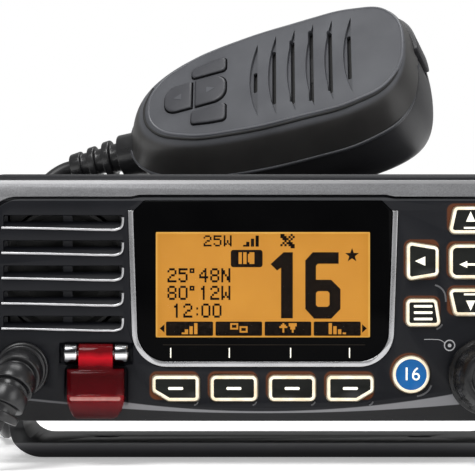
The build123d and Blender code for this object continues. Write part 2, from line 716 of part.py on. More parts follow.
def panel_gasket():
    """The weather gasket between the back plate and the chassis."""
    outer = box(
        -CHASSIS_W / 2, CHASSIS_W / 2, PANEL_BACK, CASE_FRONT, CHASSIS_FOOT, CHASSIS_TOP
    )
    half = CHASSIS_W / 2 - 3
    inner = box(-half, half, PANEL_BACK - 1, CASE_FRONT + 1, CHASSIS_FOOT + 3, CHASSIS_TOP - 3)
    return fillet(outer.edges().filter_by(Axis.Y), 2.5) - inner


# ---------------------------------------------------------------- inside the chassis
def main_board():
    """The radio board, flat on the chassis posts, with its three screening cans."""
    half = MAIN_BOARD_X
    board = box(-half, half, CASE_FRONT + 3, CASE_REAR - 5, MAIN_BOARD_Z, MAIN_BOARD_Z + BOARD_T)
    board -= [
        Pos(x, y, MAIN_BOARD_Z - 1) * extrude(Circle(1.6), BOARD_T + 2)
        for x in (-POST_X, POST_X)
        for y in POST_Y
    ]
    spots = ((-36, -2, 26, 22), (2, 4, 34, 30), (38, -4, 22, 18))
    top = MAIN_BOARD_Z + BOARD_T
    return board + [Pos(x, y, top) * extrude(RectangleRounded(w, d, 1.5), 4.5) for x, y, w, d in spots]


def power_module():
    """The transmitter's output module, screwed flat to the rear wall."""
    x, wall, foot = MODULE_X, CASE_REAR - 4, MAIN_BOARD_Z + BOARD_T
    body = box(x - 10, x + 10, wall - 8, wall, foot, foot + 20)
    ears = [box(x + dx - 3, x + dx + 3, wall - 3, wall, foot + 19, foot + 26) for dx in (-7, 7)]
    return body + ears


def board_link():
    """The connector block that joins the two boards through the back plate."""
    return box(-18, 18, BOARD_Y + BOARD_T, CASE_FRONT + 3, MAIN_BOARD_Z - 0.5, MAIN_BOARD_Z + 4.5)


def antenna_socket():
    """A threaded coaxial socket on a four-hole square flange."""
    y = CASE_REAR
    flange = block(RectangleRounded(25, 25, 3), y, 2.0, ANTENNA_X, REAR_Z + 0.5)
    for dx in (-9, 9):
        for dz in (-9, 9):
            flange -= rod_y(1.6, y - 1, y + 3, ANTENNA_X + dx, REAR_Z + 0.5 + dz)
    barrel = rod_y(7.9, y + 2.0, y + 15.0, ANTENNA_X, REAR_Z)
    barrel = chamfer(barrel.edges().sort_by(Axis.Y)[-1], 0.6)
    stem = rod_y(5.4, y - 4.6, y + 0.1, ANTENNA_X, REAR_Z)
    body = flange + barrel + stem
    body -= rod_y(5.6, y + 6.0, y + 16, ANTENNA_X, REAR_Z)
    contact = rod_y(3.1, y + 5.5, y + 14.0, ANTENNA_X, REAR_Z)
    return body + contact - rod_y(2.0, y + 6.5, y + 15, ANTENNA_X, REAR_Z)


def rear_glands():
    """Rubber cable inlets in the rear wall, each with a blind eye."""
    glands = []
    for x in GLAND_X:
        collar = rod_y(5.6, CASE_REAR, CASE_REAR + 3.0, x, REAR_Z)
        collar = chamfer(collar.edges().sort_by(Axis.Y)[-1], 0.8)
        plug = rod_y(3.9, CASE_REAR - 5.0, CASE_REAR + 0.1, x, REAR_Z)
        eye = rod_y(2.2, CASE_REAR + 1.0, CASE_REAR + 4.0, x, REAR_Z)
        glands.append(collar + plug - eye)
    return Compound(children=glands)


# ---------------------------------------------------------------- distress control
def distress_button():
    """The guarded button, flush in the floor of its well."""
    back = BOARD_Y - DISTRESS_TRAVEL - 0.1
    flange_t = 0.6
    cap = block(distress_hole(), FACE - 0.4, back - FACE + 0.4, COVER_X, zp(DISTRESS_Z))
    cap = chamfer(cap.faces().sort_by(Axis.Y)[0].edges(), 0.4)
    return cap + block(distress_hole(FLANGE), back - flange_t, flange_t, COVER_X, zp(DISTRESS_Z))


def cover_front(inset=0.0):
    """Front view of the distress cover: straight sides, a narrower round foot."""
    w = COVER_W / 2 - inset
    top, foot = COVER_TOP - inset, COVER_FOOT + inset
    with BuildSketch() as sketch:
        with BuildLine():
            Polyline((-w, top), (w, top), (w, foot + 5.5))
            Spline((w, foot + 5.5), (w - 0.9, foot + 2.0), (w - 3.4, foot), tangents=[(0, -1), (-1, 0)])
            Line((w - 3.4, foot), (-w + 3.4, foot))
            Spline((-w + 3.4, foot), (-w + 0.9, foot + 2.0), (-w, foot + 5.5), tangents=[(-1, 0), (0, 1)])
            Line((-w, foot + 5.5), (-w, top))
        make_face()
    return sketch.sketch


def distress_cover():
    """The see-through flap: a shallow cup with a finger ridge, hung from a barrel."""
    shell = block(cover_front(), FACE - COVER_PROUD, COVER_PROUD + 0.6, COVER_X, FLOOR_TO_PANEL)
    shell = chamfer(shell.faces().sort_by(Axis.Y)[0].edges(), 1.1)
    room = FACE - COVER_PROUD + COVER_WALL
    shell -= block(cover_front(COVER_WALL), room, COVER_PROUD + 1, COVER_X, FLOOR_TO_PANEL)
    ridge = rod_x(0.9, COVER_X - 5.2, COVER_X + 5.2, FACE - COVER_PROUD + 0.1, zp(6.4))
    tongue = box(
        COVER_X - BARREL_W / 2, COVER_X + BARREL_W / 2,
        HINGE_Y - HINGE_R, HINGE_Y - HINGE_R + 1.6, zp(COVER_TOP - 0.6), zp(HINGE_Z),
    )
    barrel = rod_x(HINGE_R, COVER_X - BARREL_W / 2, COVER_X + BARREL_W / 2, HINGE_Y, zp(HINGE_Z))
    bore = rod_x(PIN_D / 2 + RUNNING, COVER_X - 8, COVER_X + 8, HINGE_Y, zp(HINGE_Z))
    return shell + ridge + tongue + barrel - bore


def cover_pin():
    """The steel pin that the cover turns on."""
    half = COVER_W / 2 + 0.6
    return rod_x(PIN_D / 2, COVER_X - half, COVER_X + half, HINGE_Y, zp(HINGE_Z))


def boss_spans():
    """Where the two end bosses lie along the hinge."""
    spans = []
    for side in (-1, 1):
        inner = COVER_X + side * (BARREL_W / 2 + 0.25)
        outer = COVER_X + side * (COVER_W / 2 + 1.0)
        spans.append(tuple(sorted((inner, outer))))
    return spans


def boss_foot(low, high, grow=0.0):
    """The foot that lets a boss into the panel."""
    back = FACE + HINGE_R - HINGE_OUT + 0.4 + grow
    reach = 1.8 + grow
    return box(low + 0.6 - grow, high - 0.6 + grow, HINGE_Y, back, zp(HINGE_Z) - reach, zp(HINGE_Z) + reach)


def cover_bosses():
    """Two bright end bosses, let into the panel, that hold the pin."""
    bosses = []
    for low, high in boss_spans():
        boss = rod_x(HINGE_R + 0.1, low, high, HINGE_Y, zp(HINGE_Z))
        boss = chamfer(boss.edges().filter_by(GeomType.CIRCLE), 0.4)
        pin_way = rod_x(PIN_D / 2, low - 2, high + 2, HINGE_Y, zp(HINGE_Z))
        bosses.append(boss + boss_foot(low, high) - pin_way)
    return Compound(children=bosses)


# ---------------------------------------------------------------- dial
def dial_knob():
    """The volume dial: stepped skirt, fluted waist and dished front."""
    y = FACE - DIAL_GAP
    axis = Axis((DIAL_X, y, zp(DIAL_Z)), (0, -1, 0))
    profile = [
        (SHAFT_D / 2, 0), (DIAL_R, 0), (DIAL_R, 2.4), (DIAL_R - 1.2, 3.6), (DIAL_R - 2.2, DIAL_L - 2.2),
        (DIAL_R - 3.4, DIAL_L), (DIAL_R - 5.0, DIAL_L), (DIAL_R - 5.8, DIAL_L - 0.8), (0, DIAL_L - 0.8),
        (0, DIAL_L - 4.0), (SHAFT_D / 2, DIAL_L - 4.0),
    ]
    plane = Plane(origin=(DIAL_X, y, zp(DIAL_Z)), x_dir=(1, 0, 0), z_dir=(0, 0, -1))
    with BuildSketch(plane) as section:
        with BuildLine():
            Polyline(*[(x, -d if plane.y_dir.Y > 0 else d) for x, d in profile], close=True)
        make_face()
    knob = revolve(section.sketch, axis)
    flutes = [
        Pos(DIAL_X, 0, zp(DIAL_Z))
        * Rotation(0, i * 360 / 18, 0)
        * Pos(DIAL_R - 0.55, 0, 0)
        * rod_y(0.55, y - DIAL_L + 2.6, y - 3.4, 0, 0)
        for i in range(18)
    ]
    return knob - flutes


def dial_shaft():
    """The encoder's shaft, pushed and turned by the dial."""
    return rod_y(SHAFT_D / 2, FACE - DIAL_GAP - DIAL_L + 4.0, BOARD_Y + BOARD_T + 1.0, DIAL_X, zp(DIAL_Z))


def dial_rotor():
    """The detent wheel that the shaft slides through and turns."""
    y = BOARD_Y + BOARD_T + 0.6
    with BuildSketch(facing(y, DIAL_X, zp(DIAL_Z))) as wheel:
        Circle(5.4)
        with PolarLocations(5.6, 15):
            Circle(0.5, mode=Mode.SUBTRACT)
        Circle(SHAFT_D / 2 + RUNNING, mode=Mode.SUBTRACT)
    return extrude(wheel.sketch, amount=-1.6)


def dial_encoder():
    """The encoder's housing, soldered to the back of the control board."""
    y = BOARD_Y + BOARD_T
    case = block(RectangleRounded(14, 13, 1.2), y, 7.0, DIAL_X, zp(DIAL_Z) + 1.2)
    return case - rod_y(6.2, y - 1, y + 4.4, DIAL_X, zp(DIAL_Z))


# ---------------------------------------------------------------- cable boot and cord
def arc_frames(start, forward, sideways, reach, drop, count):
    """Planes along a quarter bend that leaves start forwards and ends heading sideways."""
    bend = 2 * (Vector(reach, drop).get_angle(Vector(1, 0)))
    radius = reach / sin(radians(bend))
    frames = []
    for i in range(count + 1):
        turn = radians(bend) * i / count
        place = start + forward * (radius * sin(turn)) + sideways * (radius * (1 - cos(turn)))
        heading = forward * cos(turn) + sideways * sin(turn)
        frames.append(Plane(origin=place, x_dir=forward.cross(sideways), z_dir=heading))
    return frames


def panel_boot():
    """The ribbed rubber boot that leads the microphone cord out of the panel."""
    start = Vector(BOOT_X, FACE - 2.0, zp(BOOT_Z))
    fall = sqrt(BOOT_DROP**2 + BOOT_SIDE**2)
    sideways = Vector(-BOOT_SIDE, 0, -BOOT_DROP).normalized()
    frames = arc_frames(start, Vector(0, -1, 0), sideways, BOOT_REACH - 2.0, fall, 12)
    collar = rod_y(BOOT_R, FACE - 2.0, FACE, BOOT_X, zp(BOOT_Z))
    collar = fillet(collar.edges().sort_by(Axis.Y)[0], 0.8)
    collar += rod_y(BOOT_R - 1.8, FACE - 0.5, BOARD_Y - 0.2, BOOT_X, zp(BOOT_Z))
    last = len(frames) - 1
    body = collar
    for i in range(last):
        r0 = BOOT_R - 0.6 + (BOOT_END_R - BOOT_R + 0.6) * i / last
        r1 = BOOT_R - 0.6 + (BOOT_END_R - BOOT_R + 0.6) * (i + 1) / last
        waist = 1.5 if i % 3 == 1 else 0.0
        body += loft([frames[i] * Circle(r0 - waist), frames[i + 1] * Circle(r1 - waist)])
    return body, frames[-1]


def tube(points, diameter):
    """A round cord along straight runs and the largest tangent arcs that fit them."""
    stops = [Vector(*p) for p in points]
    runs = [(b - a).length for a, b in zip(stops, stops[1:])]
    radii = []
    for i in range(1, len(stops) - 1):
        turn = (stops[i] - stops[i - 1]).get_angle(stops[i + 1] - stops[i])
        radii.append(0.45 * min(runs[i - 1], runs[i]) / sin(radians(turn / 2)) * cos(radians(turn / 2)))
    path = FilletPolyline(*stops, radius=radii)
    start = Plane(origin=path @ 0, z_dir=path % 0)
    solid = sweep(start * Circle(diameter / 2), path=path)
    share = solid.volume / (pi * diameter**2 / 4 * path.length)
    print(f"cord run {path.length:6.1f} mm, radii {[round(r, 1) for r in radii]}, volume share {share:.4f}")
    return solid


# ---------------------------------------------------------------- hand microphone
MIC_HALF = [(-0.94, 0.43), (-0.72, 0.76), (-0.36, 0.94), (0.15, 1.0), (0.6, 0.97), (0.88, 0.74)]


def mic_outline(grow, height, inset=0.0):
    """The microphone's outline at a height: the face's edge, flared by grow, then drawn in all round."""
    upper = []
    for along, across in MIC_HALF:
        a = along * (MIC_TAIL if along < 0 else MIC_HEAD)
        b = across * MIC_FACE_R
        away = sqrt((along) ** 2 + (across) ** 2)
        flare = grow * (TAIL_FLARE if along < 0 else HEAD_FLARE) - inset
        upper.append((a + flare * along / away, b + (grow - inset) * across / away))
    ends = (inset - MIC_TAIL - grow * TAIL_FLARE, 0), (MIC_HEAD + grow * HEAD_FLARE - inset, 0)
    points = [ends[0], *upper, ends[1], *[(a, -b) for a, b in reversed(upper)]]
    with BuildSketch(Plane.XY.offset(height)) as sketch:
        with BuildLine():
            Spline(*points, periodic=True)
        make_face()
    return sketch.sketch


def mic_front_form():
    """Solid form of the front shell: crowned shoulder from the face down to the seam."""
    levels = [(0.0, 0.0), (2.6, -2.2), (MIC_FLARE - 1.2, MIC_SEAM_H + 3.2), (MIC_FLARE, MIC_SEAM_H)]
    return loft([mic_outline(g, h) for g, h in levels])


def mic_back_form():
    """Solid form of the back shell: from the seam round to the flat back."""
    deep = MIC_BACK_H
    seam = (MIC_FLARE - 0.7, MIC_SEAM_H - 0.3)
    levels = [(*seam, 0), (MIC_FLARE - 1.1, deep * 0.66, 0), (3.0, deep * 0.91, 1.0), (-3.0, deep, 2.5)]
    return loft([mic_outline(*level) for level in levels])


def ptt_zone(inner, outer, a0, b0, low, high):
    """A strip round the shoulder, from inner to outer beyond the seam's edge, where the talk key is."""
    ring = extrude(mic_outline(MIC_FLARE, low, -outer), amount=high - low)
    if inner is not None:
        ring -= extrude(mic_outline(MIC_FLARE, low - 1, -inner), amount=high - low + 2)
    return ring & box(a0, 80, b0, 80, low - 1, high + 1)


SLOT_HALF = (14.4, 16.0, 16.3, 16.5, 16.1, 15.2)
SLOT_OPEN = (4.0, 10.6, 12.5, 14.2, 12.2, 8.7)
SLOT_FIRST = -7.7
SLOT_PITCH = 5.85


def mic_grille():
    """Crescent recesses with a straight right edge, each with a slot through it."""
    cuts = []
    for i, (half, opening) in enumerate(zip(SLOT_HALF, SLOT_OPEN)):
        a = SLOT_FIRST + i * SLOT_PITCH
        with BuildSketch(Plane.XY.offset(-1.1)) as crescent:
            with BuildLine():
                Line((a, -half), (a, half))
                ThreePointArc((a, half), (a - 2.6, 0), (a, -half))
            make_face()
        cuts.append(extrude(crescent.sketch, amount=4))
        cuts.append(Pos(a - 1.1, 0, -6) * extrude(SlotOverall(2 * opening, 1.2, rotation=90), 6))
    return cuts


def mic_key_outline(name, grow=0.0):
    """Outlines of the four keys beside the grille."""
    with BuildSketch() as sketch:
        if name in ("mic_key_top", "mic_key_bottom"):
            side = 1 if name == "mic_key_top" else -1
            inner, outer = (7.0, 12.6) if side > 0 else (6.0, 13.0)
            a0, a1 = -28.6 - grow, -17.6 + grow
            b0, b1, step = side * (inner - grow), side * (outer + grow), side * 1.8
            with BuildLine():
                Polyline((a0, b0), (a1, b0), (a1, b1), (-22.8, b1 - step / 3), (a0, b1 - step), close=True)
            make_face()
            fillet(sketch.vertices(), 1.5)
        else:
            inner = name == "mic_key_plus"
            a0, a1 = (-27.4 - grow, -17.6 + grow) if inner else (-37.2 - grow, -28.4 + grow)
            b = 5.2 + grow
            with Locations(((a0 + a1) / 2, 0.6)):
                Rectangle(a1 - a0, 2 * b)
            right = sketch.vertices().group_by(Axis.X)[-1 if inner else 0]
            fillet(right, 4.2)
    return sketch.sketch


MIC_KEYS = ("mic_key_top", "mic_key_plus", "mic_key_minus", "mic_key_bottom")


def mic_key(name):
    """A key on the microphone's face, with a flange under the shell."""
    foot = MIC_WALL + 0.15
    cap = extrude(Plane.XY.offset(-foot) * mic_key_outline(name), amount=foot + MIC_KEY_PROUD)
    cap = chamfer(cap.faces().sort_by(Axis.Z)[-1].edges(), 0.4)
    return cap + extrude(Plane.XY.offset(-MIC_WALL - 0.1) * mic_key_outline(name, 0.4), amount=-0.8)


def mic_front_shell():
    """Front shell: hollow, with the grille, the key holes and the talk key's pocket."""
    form = mic_front_form()
    room = loft(
        [
            mic_outline(0, -MIC_WALL, 2.4),
            mic_outline(MIC_FLARE - 1.2, MIC_SEAM_H + 3.0, 2.8),
            mic_outline(MIC_FLARE, MIC_SEAM_H - 0.5, 2.4),
        ]
    )
    shell = form - room
    for name in MIC_KEYS:
        shell -= extrude(Plane.XY.offset(-6) * mic_key_outline(name, 0.25), amount=8)
    shell -= mic_grille()
    shell -= boot_seat()
    return shell - ptt_zone(None, 24, 2.0, 3.0, MIC_SEAM_H - 9.5, MIC_SEAM_H + 2.4)


def mic_back_shell():
    """Back shell: hollow, with a boss for the hanger stud."""
    form = mic_back_form()
    deep = MIC_BACK_H
    room = loft(
        [
            mic_outline(MIC_FLARE - 0.7, MIC_SEAM_H + 0.3, 2.3),
            mic_outline(MIC_FLARE - 1.1, deep * 0.6, 2.9),
            mic_outline(0, deep * 0.84, 3.0),
        ]
    )
    shell = form - room
    shell = shell - ptt_zone(None, 24, 2.0, 3.0, MIC_SEAM_H - 9.5, MIC_SEAM_H + 2.4)
    pocket = ptt_zone(-5.0, -3.6, 0.6, 1.6, MIC_SEAM_H - 11.5, MIC_SEAM_H - 0.3)
    floor = ptt_zone(-3.8, 24, 0.6, 1.6, MIC_SEAM_H - 11.5, MIC_SEAM_H - 9.5)
    shell = shell + ((pocket + floor) & form)
    shell -= Pos(0, 0, deep - 1) * extrude(Circle(1.6), 14)
    for a, b in MIC_SCREWS:
        shell -= Pos(a, b, deep - 1) * extrude(Circle(2.6), 2.2)
        shell -= Pos(a, b, deep) * extrude(Circle(1.4), 12)
    return shell - boot_seat()


def mic_screws():
    """Three countersunk screws that hold the microphone's shells together."""
    screws = []
    for a, b in MIC_SCREWS:
        screw = Pos(a, b, MIC_BACK_H + 0.2) * extrude(Circle(2.4), 1.0)
        screw += Pos(a, b, MIC_BACK_H + 1.2) * extrude(Circle(1.35), 7.0)
        cross = Rectangle(0.7, 2.8) + Rectangle(2.8, 0.7)
        screws.append(screw - Pos(a, b, MIC_BACK_H) * extrude(cross, 0.8))
    return Compound(children=screws)


def ptt_key():
    """The talk key, wrapped round the shoulder."""
    return ptt_zone(-2.0, 1.0, 4.0, 5.2, MIC_SEAM_H - 9.0, MIC_SEAM_H + 1.9)


def hanger_stud():
    """The round stud on the back that drops into a wall clip."""
    deep = MIC_BACK_H
    stem = Pos(0, 0, deep - 4.5) * extrude(Circle(3.2), 4.5)
    head = Pos(0, 0, deep - 6.5) * extrude(Circle(6.4), 2.0)
    head = chamfer(head.edges(), 0.6)
    return stem + head + Pos(0, 0, deep) * extrude(Circle(1.6), 8)


def mic_board():
    """The microphone's small circuit board under the keys."""
    board = extrude(mic_outline(0, -MIC_WALL - 2.4, 4.5), amount=-1.2)
    return board & box(-37, 34, -30, 30, -10, 0)


def mic_capsule():
    """The electret capsule behind the grille."""
    return Pos(8, 0, -MIC_WALL - 2.3) * extrude(Circle(4.8), 2.2)


def boot_seat():
    """The flat seat and the hole that the boot takes up in the shells."""
    plane = Plane(origin=MIC_BOOT_AT, x_dir=(0, 1, 0), z_dir=MIC_CORD_HEADING)
    return extrude(plane * Circle(8.0), amount=12) + extrude(plane * Circle(4.55), amount=-9)


def mic_boot():
    """The ribbed boot at the microphone's cord end."""
    heading = Vector(*MIC_CORD_HEADING).normalized()
    start = MIC_BOOT_AT
    stations = [
        (0.0, 7.6), (4.2, 6.5), (8.4, 6.5), (8.5, 4.4), (11.2, 4.3), (11.3, 5.7), (13.6, 5.5),
        (13.7, 3.9), (16.2, 3.8), (16.3, 5.0), (18.5, 4.8), (18.6, 3.6), (20.9, 3.5), (21.0, 4.3),
        (24.4, 3.9), (24.8, 3.0),
    ]
    plane = Plane(origin=start, x_dir=(0, 1, 0), z_dir=heading)
    section = Plane(origin=start, x_dir=(0, 1, 0), z_dir=Vector(0, 1, 0).cross(heading))
    outline = [(0, 0)] + [(r, d) for d, r in stations] + [(0, stations[-1][0])]
    sign = 1 if section.y_dir.dot(heading) > 0 else -1
    with BuildSketch(section) as profile:
        with BuildLine():
            Polyline(*[(r, sign * d) for r, d in outline], close=True)
        make_face()
    boot = revolve(profile.sketch, Axis(start, heading))
    boot += extrude(plane * Circle(4.5), amount=-7.0)
    return boot, start + heading * stations[-1][0], heading


# ---------------------------------------------------------------- cord route
def cord_parts(boot_tip, mic_tip, mic_heading):
    """The cord's three stretches: out of the panel, the coiled part and up to the microphone."""
    tip, down = boot_tip.origin, boot_tip.z_dir
    front = [
        tuple(tip),
        tuple(tip + down * 6.0),
        (CURL_X + 14.0, CURL_START[1], CURL_START[2]),
        (CURL_X, CURL_START[1], CURL_START[2]),
    ]
    rear = [
        tuple(mic_tip),
        tuple(mic_tip + mic_heading * 7.0),
        *MIC_LEAD,
        (CURL_X, CURL_END[1], CURL_END[2]),
    ]
    curl = [CURL_START, *CURL_BEND, CURL_END]
    return tube(front, CORD_D), tube(curl, CURL_D), tube(rear, CORD_D)


CURL_BEND = [
    (-111, -71, 6.4),
    (-129, -60, 6.4),
    (-143, -38, 6.4),
    (-148, -15, 6.4),
    (-147, 9, 6.4),
    (-142, 32, 6.4),
    (-129, 59, 6.4),
    (-111, 72, 6.4),
]
MIC_LEAD = [(-74.5, 33, 64), (-76, 38, 48), (-75, 45, 33), (-75.5, 55, 18), (-78, 66, 9), (-85, 72, 6.4)]


# ---------------------------------------------------------------- writing the parts
def main():
    form = panel_form()
    skin = 1.2
    below_bevel = box(-PANEL_W, PANEL_W, FACE - 5, PANEL_BACK, 0, zp(BAND_TOP))
    band_prism = block(band_outline(), FACE - 2, 9, 0, FLOOR_TO_PANEL) & below_bevel
    seat_prism = block(band_outline(GROOVE), FACE - 2, 9, 0, FLOOR_TO_PANEL) & below_bevel
    save("top_band", (form & band_prism) - Pos(0, skin, 0) * form)
    seat = (form & seat_prism) - Pos(0, skin + 0.05, 0) * form
    panel = front_panel(form, seat)
    pillars, bores = plate_bosses(form)
    save("front_panel", panel + pillars - bores)

    save("mounting_bracket", mounting_bracket())
    save("friction_pads", friction_pads())
    for name, side in (("left", -1), ("right", 1)):
        save(f"tilt_knob_{name}", tilt_knob(side))
        save(f"tilt_screw_{name}", tilt_screw(side))
    save("chassis", chassis())
    save("chassis_lid", chassis_lid())
    save("case_screws", case_screws())
    save("window_bezel", window_bezel())
    save("window_lens", window_lens())
    save("display_module", display_module())
    for name, outline, x, z in panel_keys():
        save(name, key_solid(outline, x, z))
    save("keypad_mat", keypad_mat())
    save("front_board", front_board())
    save("speaker", speaker())
    save("back_plate", back_plate())
    save("panel_gasket", panel_gasket())
    save("main_board", main_board())
    save("power_module", power_module())
    save("board_link", board_link())
    save("antenna_socket", antenna_socket())
    save("rear_glands", rear_glands())
    save("distress_button", distress_button())
    save("distress_cover", distress_cover())
    save("cover_pin", cover_pin())
    save("cover_bosses", cover_bosses())
    save("dial_knob", dial_knob())
    save("dial_shaft", dial_shaft())
    save("dial_rotor", dial_rotor())
    save("dial_encoder", dial_encoder())
    boot, boot_tip = panel_boot()
    save("panel_boot", boot)

    place = MIC.location
    save("mic_front_shell", place * mic_front_shell())
    save("mic_back_shell", place * mic_back_shell())
    for name in MIC_KEYS:
        save(name, place * mic_key(name))
    save("ptt_key", place * ptt_key())
    save("hanger_stud", place * hanger_stud())
    save("mic_screws", place * mic_screws())
    save("mic_board", place * mic_board())
    save("mic_capsule", place * mic_capsule())
    boot, tip, heading = mic_boot()
    save("mic_boot", place * boot)

    tip_at = MIC.from_local_coords(tip)
    heading_at = (MIC.from_local_coords(tip + heading) - tip_at).normalized()
    lead, curl, mic_lead = cord_parts(boot_tip, tip_at, heading_at)
    save("cord_panel_lead", lead)
    save("cord_curl", curl)
    save("cord_mic_lead", mic_lead)


main()
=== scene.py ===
# %% [markdown]
# # A marine radio and its hand microphone
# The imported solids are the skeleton: every size and place is already right there. This
# lesson adds what solids don't have: soft edges, rubber and paint, a lit display, and a
# cord that hangs and coils. Everything is in metres, and the front panel faces -Y.

import json
import math

import bpy
from mathutils import Matrix, Vector

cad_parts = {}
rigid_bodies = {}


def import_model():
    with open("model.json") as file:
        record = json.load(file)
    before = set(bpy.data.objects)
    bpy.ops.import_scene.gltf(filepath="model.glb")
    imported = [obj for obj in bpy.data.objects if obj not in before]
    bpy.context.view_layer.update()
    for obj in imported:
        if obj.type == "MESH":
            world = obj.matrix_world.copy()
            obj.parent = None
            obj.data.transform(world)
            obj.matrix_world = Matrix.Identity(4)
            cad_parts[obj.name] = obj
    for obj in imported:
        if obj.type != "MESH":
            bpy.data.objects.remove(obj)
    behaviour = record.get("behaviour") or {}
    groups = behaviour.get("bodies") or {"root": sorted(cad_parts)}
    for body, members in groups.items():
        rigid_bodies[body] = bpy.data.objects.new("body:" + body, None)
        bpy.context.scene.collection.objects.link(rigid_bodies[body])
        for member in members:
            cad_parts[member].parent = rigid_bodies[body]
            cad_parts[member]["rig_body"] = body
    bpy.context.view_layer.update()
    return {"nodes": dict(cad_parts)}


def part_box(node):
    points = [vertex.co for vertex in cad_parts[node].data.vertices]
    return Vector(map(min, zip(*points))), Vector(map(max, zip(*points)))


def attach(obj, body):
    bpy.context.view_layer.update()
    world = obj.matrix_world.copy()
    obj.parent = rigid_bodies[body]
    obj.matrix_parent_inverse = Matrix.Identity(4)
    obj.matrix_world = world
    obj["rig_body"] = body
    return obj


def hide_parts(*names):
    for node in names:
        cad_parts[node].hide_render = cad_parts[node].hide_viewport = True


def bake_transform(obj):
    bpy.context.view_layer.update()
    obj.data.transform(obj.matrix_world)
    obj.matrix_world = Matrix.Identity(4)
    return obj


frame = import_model()
scene = bpy.context.scene
scene.view_settings.view_transform = "Standard"
MM = 0.001
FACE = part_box("window_lens")[0].y  # the panel's flat face
PANEL_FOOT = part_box("front_panel")[0].z
print("face at", round(FACE, 5), "panel foot at", round(PANEL_FOOT, 5))

# %% [markdown]
# ## The camera
# The set is looked at squarely through a long lens, 700 mm in front of its face and at
# about the height of the display. The view is moved sideways and up with the lens shift, as
# a studio camera's is, so the panel's edges stay parallel.

# %% Camera
VIEW_PIXELS = 475  # the view is a square
VIEW_DISTANCE = 0.700
PIXELS_PER_MM = 3.73  # at the panel's face
AIM_HEIGHT = 0.0566
AXIS_AT = (263.0, 254.0)  # where the lens axis meets the view, in pixels
SENSOR = 36  # millimetres

bpy.ops.object.camera_add(location=(0, FACE - VIEW_DISTANCE, AIM_HEIGHT), rotation=(math.pi / 2, 0, 0))
camera = bpy.context.object
camera.name = "camera"
camera.data.sensor_width = SENSOR
camera.data.lens = SENSOR * PIXELS_PER_MM * VIEW_DISTANCE / MM / VIEW_PIXELS
camera.data.shift_x = (VIEW_PIXELS / 2 - AXIS_AT[0]) / VIEW_PIXELS
camera.data.shift_y = (AXIS_AT[1] - VIEW_PIXELS / 2) / VIEW_PIXELS
camera.data.clip_start = 0.01
scene.camera = camera
print("lens", round(camera.data.lens, 1), "mm")

# %% [markdown]
# ## Shader arithmetic
# A material's pattern is easier to read as a formula than as a web of nodes. A small class
# wraps a socket, so that `1 - mask` or `grain * 0.2` adds the Math node by itself.


# %% Sockets with arithmetic, and a material to paint with
class Signal:
    """An output socket that can be added, subtracted, multiplied and divided."""

    def __init__(self, paint, socket):
        self.paint = paint
        self.socket = socket

    def __add__(self, other):
        return self.paint.math("ADD", self, other)

    def __sub__(self, other):
        return self.paint.math("SUBTRACT", self, other)

    def __rsub__(self, other):
        return self.paint.math("SUBTRACT", other, self)

    def __mul__(self, other):
        return self.paint.math("MULTIPLY", self, other)

    def __truediv__(self, other):
        return self.paint.math("DIVIDE", self, other)

    __radd__ = __add__
    __rmul__ = __mul__


